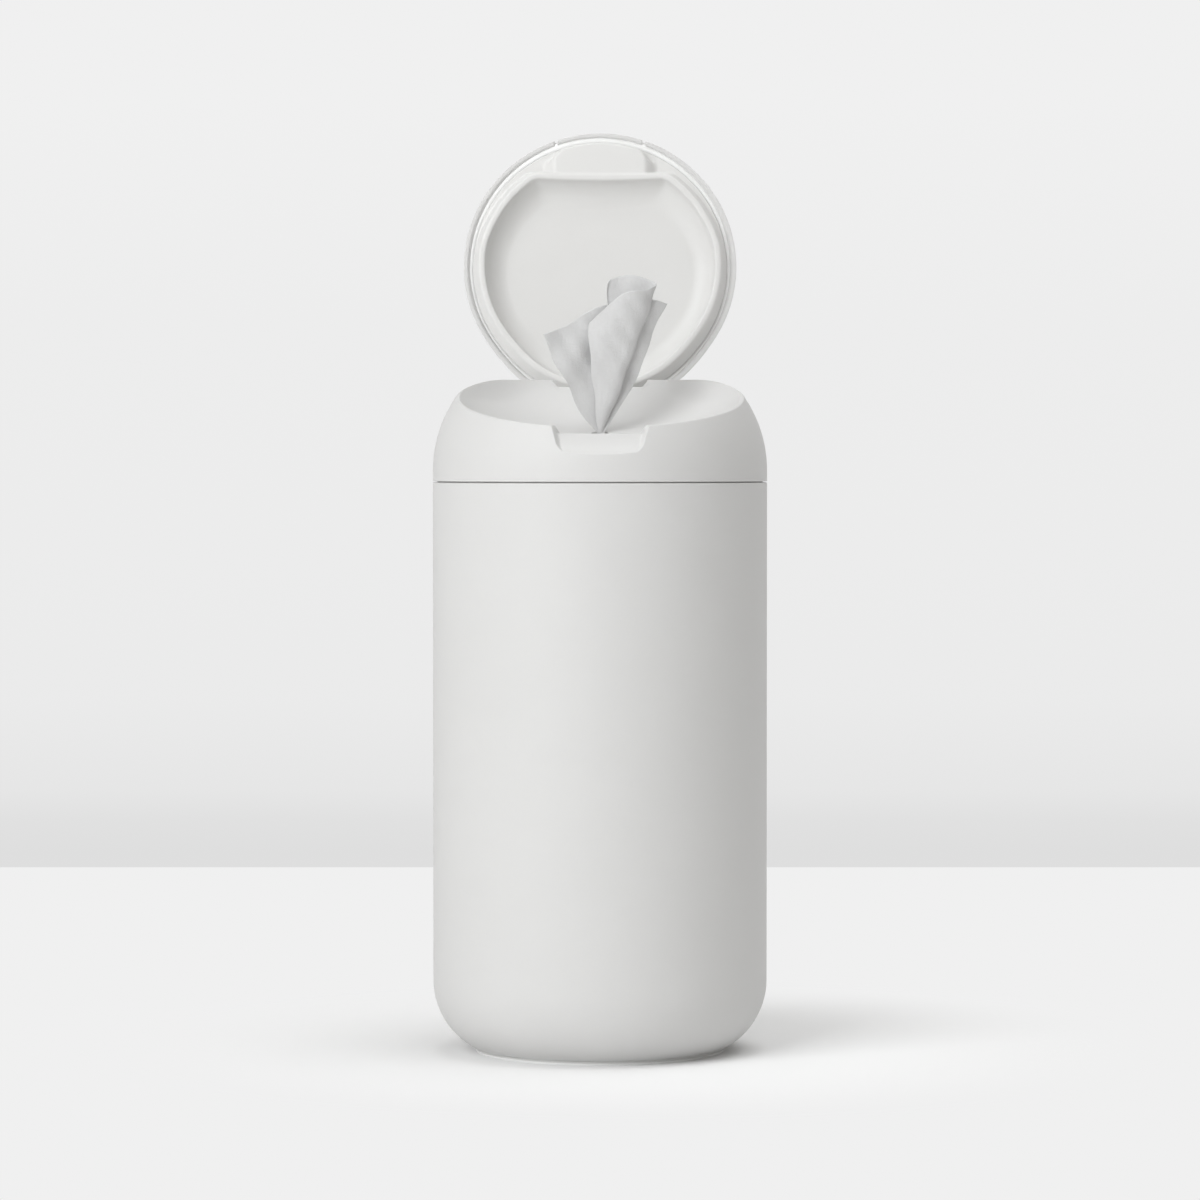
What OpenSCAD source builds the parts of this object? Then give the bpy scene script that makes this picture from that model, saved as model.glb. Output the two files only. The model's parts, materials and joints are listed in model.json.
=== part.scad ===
// Countertop wipes dispenser: a weighted canister for a centre-pull roll, a lift-off top with a
// tilted bowl round the dispensing hole, and a domed lid on a hinge at the back of the top.
// Millimetres. Origin on the canister's axis at the counter, +Z up, -Y is the front.

/* [Canister] */
// Outside diameter of the canister
body_d = 120; // [116:1:128]
// Wall of the canister
body_wall = 2.4; // [1.8:0.1:2.8]
// Radius of the rounded lower edge
bottom_round = 27.3; // [24:0.1:30]
// Height at which the straight side starts
straight_z = 25.5; // [25:0.1:27]
// Height of the floor that the roll stands on
floor_z = 13.4; // [12.6:0.1:16]
// Gap seen at the seam
seam_gap = 0.4; // [0.3:0.1:0.8]

/* [Base] */
// Diameter of the foot
foot_d = 89.6; // [88:0.1:92]
// Thickness of the soft pad under the foot
pad_h = 0.7; // [0.5:0.1:1]
// Part of the base cover that shows above the pad
cover_edge_h = 0.63; // [0.5:0.01:1]
// Full thickness of the base cover
cover_h = 2.3; // [2:0.1:2.8]
// Thickness of the steel ballast
weight_h = 7.4; // [5:0.1:7.6]
// Diameter of the ballast
weight_d = 81; // [70:1:82]
// Distance of the base screws from the axis
base_screw_r = 33; // [28:1:35]

/* [Roll and wipe] */
// Diameter of a full roll of wipes
roll_d = 102; // [80:1:106]
// Height of the roll, the width of one wipe
roll_h = 178; // [150:1:180]
// Room between a full roll and the seam
head_room = 13.1; // [11:0.1:20]
// Diameter of the hollow in the middle of the roll
roll_core_d = 38; // [30:1:44]
// Thickness drawn for the cloth
cloth_t = 0.5; // [0.4:0.05:0.7]
// Height of the pulled-up wipe above the hole
wipe_h = 57; // [40:1:60]
// Width of the pulled-up wipe at its top
wipe_w = 44; // [36:1:48]
// Diameter of the twisted strand below the hole
strand_d = 8; // [6:0.5:10]
// Length of the twisted strand
strand_l = 66; // [40:1:90]

/* [Top] */
// Radius of the level middle of the closed lid
crown_r = 13; // [11:0.5:14]
// Height of the straight skirt above the seam
skirt_h = 3.9; // [3.5:0.1:6]
// Wall of the top
top_wall = 2.4; // [2:0.1:2.6]
// Slope of the rim from back to front, in degrees
rim_tilt = 12.45; // [11:0.05:13]
// Height of the closed lid above the level part of the rim
lid_rise = 13.65; // [12:0.05:15]
// Distance behind the axis at which the sloping rim turns level, as a share of the radius
rim_bend_at = 0.41; // [0.37:0.01:0.46]
// Radius of that bend
rim_bend_r = 60; // [40:1:80]

/* [Bowl] */
// Depth of the bowl under the sloping rim
bowl_depth = 14; // [12:0.5:15]
// Radius of the bowl's side in section
bowl_round = 47.8; // [44:0.2:50]
// Width of the rim between the bowl and the outside
rim_land = 1.2; // [1:0.05:3]
// Extra length of the bowl towards the front
bowl_front = 4.4; // [3:0.1:4.6]
// Extra length of the bowl towards the back
bowl_back = 3; // [2:0.1:3.2]
// Wall of the bowl
bowl_wall = 2.2; // [1.8:0.1:2.4]
// Diameter of the dispensing hole
hole_d = 6; // [5:0.5:9]

/* [Finger scoop] */
// Half width of the finger scoop
scoop_half_w = 15.6; // [13:0.2:18]
// Depth of the scoop's upper edge below the front of the rim
scoop_depth = 2.15; // [1.5:0.05:3]
// Radius of the scoop's hollow face
scoop_round = 9; // [8:0.2:10]
// Distance of the hollow's centre outside the canister
scoop_axis_out = 2.7; // [2:0.1:4]
// Height of the hollow's centre above the scoop's upper edge
scoop_axis_rise = 1.9; // [1:0.1:3]
// Radius of the scoop's lower corners
scoop_corner = 4.5; // [3:0.5:6]

/* [Gasket] */
// Diameter of the soft gasket under the hole
gasket_d = 26; // [22:1:28]
// Thickness of the gasket
gasket_t = 1.6; // [1.2:0.1:2]
// Number of slits in the gasket
gasket_slits = 6; // [4:1:8]
// Length of the retaining collar under the gasket
collar_h = 5.2; // [4.5:0.1:6]
// Distance of the retainer screws from the hole
retainer_screw_r = 18.5; // [18:0.5:20]

/* [Spigot] */
// Depth of the spigot below the seam
spigot_depth = 10.3; // [8:0.1:12]
// Wall of the spigot
spigot_wall = 2; // [1.6:0.1:2.4]
// Gap round the spigot in the canister
spigot_gap = 0.5; // [0.4:0.05:0.7]
// Thickness of the flange between skirt and canister
flange_t = 2; // [1.6:0.1:2.4]
// Width that the flange stands back from the outside
flange_inset = 1.6; // [1.4:0.1:1.8]
// How far the spigot screws stand inside the wall of the spigot
spigot_screw_in = 7.6; // [6:0.1:9]

/* [Lid] */
// Angle by which the lid stands open, in degrees
lid_open = 109; // [95:1:112]
// Wall of the lid
lid_wall = 2; // [1.6:0.1:2.2]
// Gap between the closed lid and the rim
lid_gap = 0.5; // [0.4:0.05:0.8]
// Thickness of the lid's liner
liner_t = 1.8; // [1.4:0.1:2]
// Depth by which the liner's ridge reaches below the rim
ridge_h = 4; // [3:0.1:4.5]
// Gap between the ridge and the bowl
ridge_gap = 1.1; // [1:0.1:1.6]
// Width of the ridge's crest
ridge_w = 3; // [2.4:0.1:4]
// Height of the liner's recessed floor above the rim
recess_h = 3.5; // [3:0.1:3.6]
// Distance of the ridge's flat front side inside the bowl's half width
ridge_flat_in = 7.6; // [6:0.1:10]
// Width of the soft seal round the liner
seal_w = 1.3; // [1:0.1:1.6]
// Half width of the block in front of the ridge
block_half_w = 19.2; // [14:0.2:20]
// Length of that block towards the front
block_l = 8.5; // [7:0.1:9]
// Depth of that block below the rim
block_h = 2.2; // [1.5:0.1:2.4]

/* [Hinge] */
// Distance of the hinge pin behind the back edge of the rim
hinge_out = 1.4; // [1.2:0.1:2]
// Depth of the hinge pin below the level rim
hinge_drop = 8.95; // [8.5:0.05:9.4]
// Diameter of the hinge pin
pin_d = 3; // [2.5:0.1:3.2]
// Radius of the barrel round the pin
barrel_r = 3.6; // [3.2:0.1:3.8]
// Radius of the cradle's ears round the pin
ear_r = 2.9; // [2.6:0.1:3]
// Half width of the hinge notch in the rim
notch_half_w = 16.8; // [16:0.2:18]
// Depth of the notch in the bowl's back edge
notch_depth = 2.6; // [2:0.1:3]
// Half width of the lid's tongue in the notch
tongue_half_w = 16.1; // [15:0.1:17]

/* [Screws] */
// Thread of the screws in the collar and the cradle
small_screw_d = 2.2; // [2:0.1:2.4]
// Length of those screws
small_screw_l = 7.5; // [6:0.1:7.8]
// Thread of the screws in the base and the spigot
large_screw_d = 2.5; // [2.2:0.1:2.9]
// Length of the spigot's screws
large_screw_l = 9; // [7:0.5:10]
// Diameter of a head, as a multiple of its thread
head_share = 2; // [1.8:0.05:2.1]

/* [Hidden] */
$fn = 96;

// Larger than the whole object, for cutting blocks
far = 2 * body_d;
// Small overlap that keeps joined shapes of one piece together
bond = 0.2;
// Radial gap of a screw in its pilot bore
thread_gap = 0.05;
// Clear gap between pieces that are fitted together
fit_gap = 0.15;
// Radial gap of a screw in the piece that it passes through
pass_gap = 0.3;

body_r = body_d / 2;
foot_r = foot_d / 2;
foot_h = pad_h + cover_edge_h;
seam_z = floor_z + roll_h + head_room;
body_top_z = seam_z - seam_gap / 2;
skirt_z = seam_z + seam_gap / 2;
bottom_c_r = body_r - bottom_round;

shoulder_z = seam_z + skirt_h;
shoulder_c_r = crown_r;
shoulder_round = body_r - crown_r;
closed_h = shoulder_z + shoulder_round;
rim_back_z = closed_h - lid_rise;
rim_bend_y = rim_bend_at * body_r;
function shoulder_r_at(z) = shoulder_c_r + sqrt(pow(shoulder_round, 2) - pow(z - shoulder_z, 2));
rim_back_y = shoulder_r_at(rim_back_z);

// The bowl's floor lies on the axis, one bowl depth below the sloping rim, square to it
bowl_mouth_z = rim_back_z - tan(rim_tilt) * (rim_bend_y + bowl_depth * sin(rim_tilt));
bowl_z = bowl_mouth_z - bowl_depth * cos(rim_tilt);
bowl_half_w = shoulder_r_at(bowl_mouth_z) - rim_land;
bowl_flat = bowl_half_w - sqrt(pow(bowl_round, 2) - pow(bowl_round - bowl_depth, 2));

// How far cuts run past the solids that they cut
cut_over = 1;
// How far the bowl's space runs up past its mouth
mouth_over = 10;

// Height of the sloping rim where it comes out at the front
rim_front_z = rim_back_z - tan(rim_tilt) * (rim_bend_y + body_r - scoop_axis_out);
scoop_edge_z = rim_front_z - scoop_depth;
scoop_axis_y = body_r + scoop_axis_out;
scoop_axis_z = scoop_edge_z + scoop_axis_rise;
scoop_low_z = scoop_axis_z - scoop_round;

hinge_y = rim_back_y + hinge_out;
hinge_z = rim_back_z - hinge_drop;
hinge_gap = 0.6;
// Room below the barrel for the swinging tongue
pocket_gap = 2.8;
pocket_r = barrel_r + pocket_gap;
pocket_wall = 2;
pocket_front_y = hinge_y - barrel_r - hinge_gap + 0.1;
cradle_half_w = notch_half_w - 0.3;
ear_t = 3;
barrel_half_w = cradle_half_w - ear_t - 0.3;
cradle_plate_t = 2.4;
cradle_z = hinge_z - pocket_r - cradle_plate_t;
cradle_screw_x = notch_half_w + 4;
cradle_screw_y = hinge_y - 5.5;
cradle_boss_r = small_screw_d / 2 + 2.3;

// Distance by which the ridge's middle lies behind the middle of the bowl
ridge_shift = 1;
ridge_flat_y = bowl_half_w - ridge_flat_in;

flange_top_z = body_top_z + flange_t;
flange_r = body_r - flange_inset;
spigot_r = body_r - body_wall - spigot_gap;
spigot_low_z = body_top_z - spigot_depth;
spigot_screw_r = spigot_r - spigot_wall - spigot_screw_in;
spigot_boss_r = large_screw_d / 2 + 2.35;
flange_inner_r = spigot_screw_r - 5;

pocket_top_z = floor_z - body_wall;
cover_top_z = pad_h + cover_h;
cover_plug_r = foot_r - 3;
base_boss_r = large_screw_d / 2 + 2.35;
base_head_depth = 1.3;
weight_z = pocket_top_z - weight_h - fit_gap;

// Side outlines, in radius and height

module canister_outline() {
    intersection() {
        union() {
            translate([bottom_c_r, straight_z]) circle(r = bottom_round);
            square([bottom_c_r, straight_z]);
            translate([0, straight_z]) square([body_r, body_top_z - straight_z]);
        }
        translate([0, foot_h]) square([body_r, body_top_z - foot_h]);
    }
}

module cavity_outline() {
    intersection() {
        union() {
            translate([bottom_c_r, straight_z]) circle(r = bottom_round - body_wall);
            square([bottom_c_r, straight_z]);
            translate([0, straight_z]) square([body_r - body_wall, far]);
        }
        translate([0, floor_z]) square([body_r, far]);
    }
}

// The rounded shoulder that the top and the closed lid share, drawn in by an inset
module shoulder_outline(inset) {
    intersection() {
        union() {
            translate([shoulder_c_r, shoulder_z]) circle(r = shoulder_round - inset);
            square([shoulder_c_r, closed_h - inset]);
            square([body_r - inset, shoulder_z]);
        }
        translate([0, skirt_z - bond]) square([body_r, far]);
    }
}

module shoulder(inset) {
    rotate_extrude() shoulder_outline(inset);
}

// The same shoulder for the lid, its curve drawn in narrow straight bands
module dome(inset) {
    band = 4.5;
    round = shoulder_round - inset;
    rotate_extrude() polygon([
        [0, shoulder_z],
        for (a = [0 : band : 90]) [shoulder_c_r + round * cos(a), shoulder_z + round * sin(a)],
        [0, shoulder_z + round]]);
}

// Everything below the rim in side view: a slope that bends in narrow bands into a level back
module below_rim_outline(rise, reach = far) {
    bands = 4;
    level_y = rim_bend_y + rim_bend_r * tan(rim_tilt / 2);
    translate([0, rise]) polygon([
        [-reach, -reach],
        [-reach, rim_back_z - (reach + rim_bend_y) * tan(rim_tilt)],
        for (band = [bands : -1 : 0])
            let (turn = rim_tilt * band / bands)
                [level_y - rim_bend_r * sin(turn), rim_back_z - rim_bend_r * (1 - cos(turn))],
        [reach, rim_back_z],
        [reach, -reach]]);
}

module below_rim(rise = 0) {
    rotate([90, 0, 90]) linear_extrude(far, center = true) below_rim_outline(rise);
}

// The layer between two heights above the rim
module rim_layer(low, high) {
    rotate([90, 0, 90]) linear_extrude(far, center = true) difference() {
        below_rim_outline(high);
        below_rim_outline(low, 2 * far);
    }
}

module above_rim(rise) {
    rotate([90, 0, 90]) linear_extrude(far, center = true) difference() {
        translate([-far / 2, rim_back_z - far / 2]) square(far);
        below_rim_outline(rise, 2 * far);
    }
}

// The bowl's own frame: origin at the middle of its floor, Z square to the sloping rim
module in_bowl() {
    translate([0, 0, bowl_z]) rotate([rim_tilt, 0, 0]) children();
}

module bowl_outline(grow) {
    height = bowl_depth + mouth_over;
    intersection() {
        union() {
            translate([0, -grow]) square([bowl_flat, height + grow]);
            translate([bowl_flat, bowl_round]) circle(r = bowl_round + grow, $fn = 180);
        }
        translate([0, -grow]) square([bowl_flat + bowl_round + grow, height + grow]);
    }
}

// The space of the bowl, grown outwards by a wall or a gap
module bowl_space(grow) {
    in_bowl() {
        for (y = [-bowl_front, bowl_back])
            translate([0, y, 0]) rotate_extrude() bowl_outline(grow);
        translate([0, bowl_back, 0]) rotate([90, 0, 0]) linear_extrude(bowl_front + bowl_back) {
            bowl_outline(grow);
            mirror([1, 0]) bowl_outline(grow);
        }
    }
}

// A screw that points up, with its head's underside at the origin
module screw(thread_d, shank_l, head_h) {
    head_d = thread_d * head_share;
    difference() {
        union() {
            translate([0, 0, -head_h]) cylinder(d = head_d, h = head_h, $fn = 32);
            cylinder(d = thread_d, h = shank_l, $fn = 32);
        }
        for (turn = [0, 90])
            rotate([0, 0, turn]) translate([0, 0, -head_h])
                cube([head_d * 0.6, thread_d * 0.25, head_h], center = true);
    }
}

module ring_of(count, radius, start = 0) {
    for (i = [0 : count - 1])
        rotate([0, 0, start + i * 360 / count]) translate([radius, 0, 0]) children();
}

// Canister

module base_boss(radius) {
    ring_of(4, base_screw_r, 45)
        translate([0, 0, cover_top_z]) cylinder(r = radius, h = pocket_top_z - cover_top_z + bond);
}

module body_shell() {
    rim_chamfer = 0.3;
    color("whitesmoke") difference() {
        rotate_extrude() difference() {
            canister_outline();
            cavity_outline();
            square([cover_plug_r + fit_gap, pocket_top_z]);
            translate([body_r, body_top_z]) rotate(45)
                square(rim_chamfer * sqrt(2), center = true);
        }
        base_boss(large_screw_d / 2 + thread_gap);
    }
    color("whitesmoke") difference() {
        base_boss(base_boss_r);
        base_boss(large_screw_d / 2 + thread_gap);
    }
}

module base_weight() {
    color("slategray") difference() {
        translate([0, 0, weight_z]) cylinder(d = weight_d, h = weight_h);
        ring_of(4, base_screw_r, 45) cylinder(r = base_boss_r + 0.4, h = pocket_top_z);
        cylinder(r = 6, h = pocket_top_z);
    }
}

module base_cover() {
    color("white") difference() {
        union() {
            translate([0, 0, pad_h]) cylinder(r = foot_r, h = cover_edge_h);
            translate([0, 0, pad_h]) cylinder(r = cover_plug_r, h = cover_h);
        }
        ring_of(4, base_screw_r, 45) {
            cylinder(r = large_screw_d / 2 + pass_gap, h = cover_top_z + bond);
            cylinder(r = large_screw_d * head_share / 2 + pass_gap, h = pad_h + base_head_depth);
        }
    }
}

module base_screws() {
    low_z = pad_h + base_head_depth;
    color("silver") ring_of(4, base_screw_r, 45)
        translate([0, 0, low_z]) screw(large_screw_d, pocket_top_z - low_z, base_head_depth - pass_gap);
}

module foot_pad() {
    color("gainsboro") cylinder(r = foot_r, h = pad_h);
}

module wipes_roll() {
    color("white") translate([0, 0, floor_z]) difference() {
        cylinder(d = roll_d, h = roll_h);
        translate([0, 0, -1]) cylinder(d = roll_core_d, h = roll_h + 2);
    }
}

// Top

// The front view of the finger scoop, with rounded lower corners
module scoop_front() {
    rotate([90, 0, 0]) linear_extrude(far) {
        translate([-scoop_half_w, scoop_low_z + scoop_corner]) square([2 * scoop_half_w, far]);
        translate([-scoop_half_w + scoop_corner, scoop_low_z])
            square([2 * (scoop_half_w - scoop_corner), far]);
        for (side = [-1, 1])
            translate([side * (scoop_half_w - scoop_corner), scoop_low_z + scoop_corner])
                circle(r = scoop_corner);
    }
}

module scoop_hollow(grow) {
    translate([0, -scoop_axis_y, scoop_axis_z]) rotate([0, 90, 0])
        cylinder(r = scoop_round + grow, h = 2 * (scoop_half_w + grow), center = true);
}

module scoop_cut() {
    intersection() {
        scoop_front();
        union() {
            scoop_hollow(0);
            translate([-far / 2, -far, scoop_edge_z]) cube([far, far - body_r * 0.66, far]);
        }
    }
}

module along_hinge(radius, half_w) {
    translate([0, hinge_y, hinge_z]) rotate([0, 90, 0])
        cylinder(r = radius, h = 2 * half_w, center = true);
}

// The notch through the rim and the pocket behind the bowl that the hinge lies in
module hinge_pocket() {
    translate([-notch_half_w, hinge_y - 3 * barrel_r, rim_back_z - notch_depth])
        cube([2 * notch_half_w, far, far]);
    along_hinge(pocket_r, notch_half_w);
    translate([-notch_half_w, pocket_front_y, hinge_z]) cube([2 * notch_half_w, far, far]);
    translate([-notch_half_w, hinge_y, hinge_z - pocket_r]) cube([2 * notch_half_w, far, far]);
    // The cradle comes up into the pocket from below
    translate([-notch_half_w, hinge_y - pocket_r, cradle_z - bond])
        cube([2 * notch_half_w, 2 * pocket_r, hinge_z - cradle_z]);
}

// Solid round the pocket, before the pocket is cut
module hinge_block() {
    translate([-notch_half_w - pocket_wall, hinge_y - pocket_r - pocket_wall, cradle_z + cradle_plate_t])
        cube([2 * (notch_half_w + pocket_wall), far, far]);
}

module cradle_boss(radius, low_z) {
    for (side = [-1, 1])
        translate([side * cradle_screw_x, cradle_screw_y, low_z])
            cylinder(r = radius, h = hinge_z + 4 - low_z, $fn = 48);
}

module spigot_boss(radius) {
    ring_of(4, spigot_screw_r, 45)
        translate([0, 0, flange_top_z]) cylinder(r = radius, h = rim_back_z - flange_top_z, $fn = 48);
}

module cradle_boss_bore() {
    for (side = [-1, 1])
        translate([side * cradle_screw_x, cradle_screw_y, cradle_z])
            cylinder(r = small_screw_d / 2 + thread_gap, h = small_screw_l + 0.5, $fn = 48);
}

module spigot_boss_bore() {
    ring_of(4, spigot_screw_r, 45)
        translate([0, 0, flange_top_z - cut_over])
            cylinder(r = large_screw_d / 2 + thread_gap, h = large_screw_l, $fn = 48);
}

module retainer_boss(radius, top) {
    low = -bowl_wall - gasket_t - collar_h + 2;
    in_bowl() ring_of(3, retainer_screw_r, 90)
        translate([0, 0, low]) cylinder(r = radius, h = top - low, $fn = 48);
}

module top_shell() {
    color("whitesmoke") difference() {
        intersection() {
            shoulder(0);
            below_rim();
            translate([-far / 2, -far / 2, skirt_z]) cube([far, far, far]);
        }
        bowl_space(0);
        difference() {
            shoulder(top_wall);
            bowl_space(bowl_wall);
            scoop_hollow(bowl_wall);
            hinge_block();
            cradle_boss(cradle_boss_r, cradle_z + cradle_plate_t);
            spigot_boss(spigot_boss_r);
            retainer_boss(small_screw_d / 2 + 1.9, 0);
        }
        translate([0, 0, skirt_z - 1]) cylinder(r = flange_r + fit_gap, h = flange_top_z - skirt_z + 1);
        scoop_cut();
        hinge_pocket();
        in_bowl() translate([0, 0, -bowl_wall - 1]) cylinder(d = hole_d, h = bowl_wall + 2);
        cradle_boss_bore();
        spigot_boss_bore();
        retainer_boss(small_screw_d / 2 + thread_gap, -1);
    }
}

module orifice_gasket() {
    slit_w = 0.6;
    slit_l = gasket_d * 0.3;
    color("gainsboro") in_bowl() translate([0, 0, -bowl_wall - gasket_t]) difference() {
        cylinder(d = gasket_d, h = gasket_t);
        translate([0, 0, -1]) cylinder(r = 2.4, h = gasket_t + 2);
        for (i = [0 : gasket_slits - 1])
            rotate([0, 0, i * 360 / gasket_slits]) translate([0, -slit_w / 2, -1])
                cube([slit_l, slit_w, gasket_t + 2]);
    }
}

module gasket_retainer() {
    bore_r = gasket_d * 0.36;
    tab_t = 2;
    color("whitesmoke") in_bowl() translate([0, 0, -bowl_wall - gasket_t - collar_h]) difference() {
        union() {
            cylinder(d = gasket_d, h = collar_h);
            cylinder(r = retainer_screw_r + 3.2, h = tab_t - fit_gap);
        }
        translate([0, 0, -1]) cylinder(r = bore_r, h = collar_h + 2);
        ring_of(3, retainer_screw_r, 90)
            translate([0, 0, -1]) cylinder(r = small_screw_d / 2 + pass_gap, h = tab_t + 2, $fn = 32);
    }
}

module retainer_screws() {
    color("silver") in_bowl() translate([0, 0, -bowl_wall - gasket_t - collar_h])
        ring_of(3, retainer_screw_r, 90) screw(small_screw_d, small_screw_l, small_screw_d * 0.68);
}

module spigot_ring() {
    groove_h = 3.2;
    groove_d = 1.1;
    color("white") difference() {
        rotate_extrude() difference() {
            union() {
                translate([flange_inner_r, body_top_z])
                    square([flange_r - flange_inner_r, flange_t - fit_gap]);
                translate([spigot_r - spigot_wall, spigot_low_z])
                    square([spigot_wall, body_top_z - spigot_low_z + bond]);
            }
            translate([spigot_r - groove_d, spigot_low_z + 2]) square([groove_d + 1, groove_h]);
        }
        ring_of(4, spigot_screw_r, 45)
            translate([0, 0, body_top_z - 1])
                cylinder(r = large_screw_d / 2 + pass_gap, h = flange_t + 2, $fn = 32);
    }
}

module spigot_screws() {
    color("silver") ring_of(4, spigot_screw_r, 45)
        translate([0, 0, body_top_z]) screw(large_screw_d, large_screw_l, large_screw_d * 0.7);
}

module body_seal() {
    seal_h = 3;
    seal_in = 1;
    lip = 0.2;
    color("gainsboro") rotate_extrude() {
        translate([spigot_r - seal_in, spigot_low_z + 2.1]) square([seal_in, seal_h]);
        for (z = [0.6, seal_h - 0.6])
            translate([spigot_r - bond, spigot_low_z + 2.1 + z - 0.3]) square([lip + bond, 0.6]);
    }
}

module hinge_cradle() {
    plate_w = cradle_screw_x + cradle_boss_r;
    color("whitesmoke") difference() {
        union() {
            translate([-cradle_half_w, hinge_y - pocket_r + fit_gap, cradle_z])
                cube([2 * cradle_half_w, pocket_r + ear_r - fit_gap, cradle_plate_t]);
            translate([-plate_w, cradle_screw_y - cradle_boss_r, cradle_z])
                cube([2 * plate_w, 2 * cradle_boss_r, cradle_plate_t]);
            for (side = [-1, 1])
                translate([side * (cradle_half_w - ear_t / 2), hinge_y, hinge_z]) {
                    rotate([0, 90, 0]) cylinder(r = ear_r, h = ear_t, center = true);
                    translate([-ear_t / 2, -ear_r, cradle_z - hinge_z])
                        cube([ear_t, 2 * ear_r, hinge_z - cradle_z]);
                }
        }
        along_hinge(pin_d / 2, far / 4);
        for (side = [-1, 1])
            translate([side * cradle_screw_x, cradle_screw_y, cradle_z - 1])
                cylinder(r = small_screw_d / 2 + pass_gap, h = cradle_plate_t + 2, $fn = 32);
    }
}

module cradle_screws() {
    color("silver") for (side = [-1, 1])
        translate([side * cradle_screw_x, cradle_screw_y, cradle_z])
            screw(small_screw_d, small_screw_l, small_screw_d * 0.68);
}

module hinge_pin() {
    color("silver") along_hinge(pin_d / 2, cradle_half_w);
}

// Wipe

module next_wipe() {
    neck_r = 1.9;
    neck_l = 3;
    flare_l = 11;
    tip_l = 12;
    neck_z = bowl_z - bowl_wall - gasket_t - 1;
    tip_z = neck_z - strand_l;
    color("white") rotate_extrude() polygon([
        [0, neck_z], [neck_r, neck_z], [neck_r, neck_z - neck_l],
        [strand_d / 2, neck_z - neck_l - flare_l], [strand_d / 2, tip_z + tip_l],
        [strand_d / 4, tip_z], [0, tip_z]]);
}

// The pulled-up cloth in plan: where each fold stands at the top, as shares of the wipe's width,
// and how high its top edge reaches, as a share of the wipe's height
wipe_folds = [[-0.466, 0.023, 0.62], [-0.182, 0.08, 0.74], [0.057, 0.125, 0.82], [-0.159, -0.034, 0.66],
              [0.114, -0.148, 0.95], [0.443, -0.034, 1], [0.182, 0.091, 0.86], [0.341, 0.17, 0.85],
              [0.534, 0.125, 0.81]];
// Share of its width, depth and thickness that the cloth keeps in the hole
wipe_neck_x = 0.07;
wipe_neck_y = 0.2;
wipe_neck_t = 0.25;
wipe_columns = 34;
wipe_rows = 14;

// A smooth curve through the folds: quadratic spline with its ends drawn out to the free corners
function fold_at(i) = i < 0 ? 2 * wipe_folds[0] - wipe_folds[1]
    : i >= len(wipe_folds) ? 2 * wipe_folds[len(wipe_folds) - 1] - wipe_folds[len(wipe_folds) - 2]
    : wipe_folds[i];
function spline(u) = let (i = min(floor(u), len(wipe_folds) - 1), f = u - i)
    0.5 * pow(1 - f, 2) * fold_at(i - 1) + (0.5 + f - f * f) * fold_at(i) + 0.5 * f * f * fold_at(i + 1);
function cloth_mid(c, row) = let (
    p = spline(0.5 + c * (len(wipe_folds) - 1) / wipe_columns),
    s = row / wipe_rows, low = bowl_wall + gasket_t + 0.8,
    free = max(0, (wipe_h * p[2] + low) * s - low - 1) / (wipe_h * p[2] - 1), spread = pow(free, 0.85))
    [wipe_w * p[0] * (wipe_neck_x + (1 - wipe_neck_x) * spread),
     wipe_w * p[1] * (wipe_neck_y + (1 - wipe_neck_y) * spread),
     bowl_z - low + (wipe_h * p[2] + low) * s];
function cloth_normal(c, row) = let (
    d = cloth_mid(min(c + 0.5, wipe_columns), row) - cloth_mid(max(c - 0.5, 0), row),
    n = norm([d[0], d[1]]))
    [-d[1] / n, d[0] / n, 0];
function cloth_point(c, row, side) = cloth_mid(c, row)
    + side * cloth_t / 2 * (wipe_neck_t + (1 - wipe_neck_t) * row / wipe_rows) * cloth_normal(c, row);

module wipe() {
    wide = wipe_columns + 1;
    count = wide * (wipe_rows + 1);
    points = [for (side = [-1, 1], row = [0 : wipe_rows], c = [0 : wipe_columns])
        cloth_point(c, row, side)];
    function front(c, row) = row * wide + c;
    function back(c, row) = count + row * wide + c;
    function quad(a, b, c, d) = [[a, b, c], [a, c, d]];
    faces = [
        for (row = [0 : wipe_rows - 1], c = [0 : wipe_columns - 1]) each concat(
            quad(front(c, row), front(c, row + 1), front(c + 1, row + 1), front(c + 1, row)),
            quad(back(c, row), back(c + 1, row), back(c + 1, row + 1), back(c, row + 1))),
        for (c = [0 : wipe_columns - 1]) each concat(
            quad(front(c, 0), front(c + 1, 0), back(c + 1, 0), back(c, 0)),
            quad(front(c + 1, wipe_rows), front(c, wipe_rows), back(c, wipe_rows),
                 back(c + 1, wipe_rows))),
        for (row = [0 : wipe_rows - 1]) each concat(
            quad(front(0, row + 1), front(0, row), back(0, row), back(0, row + 1)),
            quad(front(wipe_columns, row), front(wipe_columns, row + 1),
                 back(wipe_columns, row + 1), back(wipe_columns, row)))];
    color("white") polyhedron(points, faces, convexity = 8);
}

// Lid, drawn closed and swung open about the hinge

module swung_open() {
    translate([0, hinge_y, hinge_z]) rotate([-lid_open, 0, 0])
        translate([0, -hinge_y, -hinge_z]) children();
}

// Solid left inside the lid's wall, where the tongue joins it
module tongue_root() {
    translate([-tongue_half_w, pocket_front_y + 0.4, rim_back_z - 1]) cube([2 * tongue_half_w, 10, 4]);
}

// Blocks that carry the lid's outside on down the notch to the barrel
module tongue_blocks() {
    low_z = hinge_z + barrel_r + hinge_gap;
    translate([-tongue_half_w, pocket_front_y + 0.4, low_z])
        cube([2 * tongue_half_w, far, rim_back_z + lid_gap + 1 - low_z]);
    translate([-barrel_half_w, pocket_front_y + 0.4, hinge_z])
        cube([2 * barrel_half_w, far, low_z + bond - hinge_z]);
}

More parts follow.
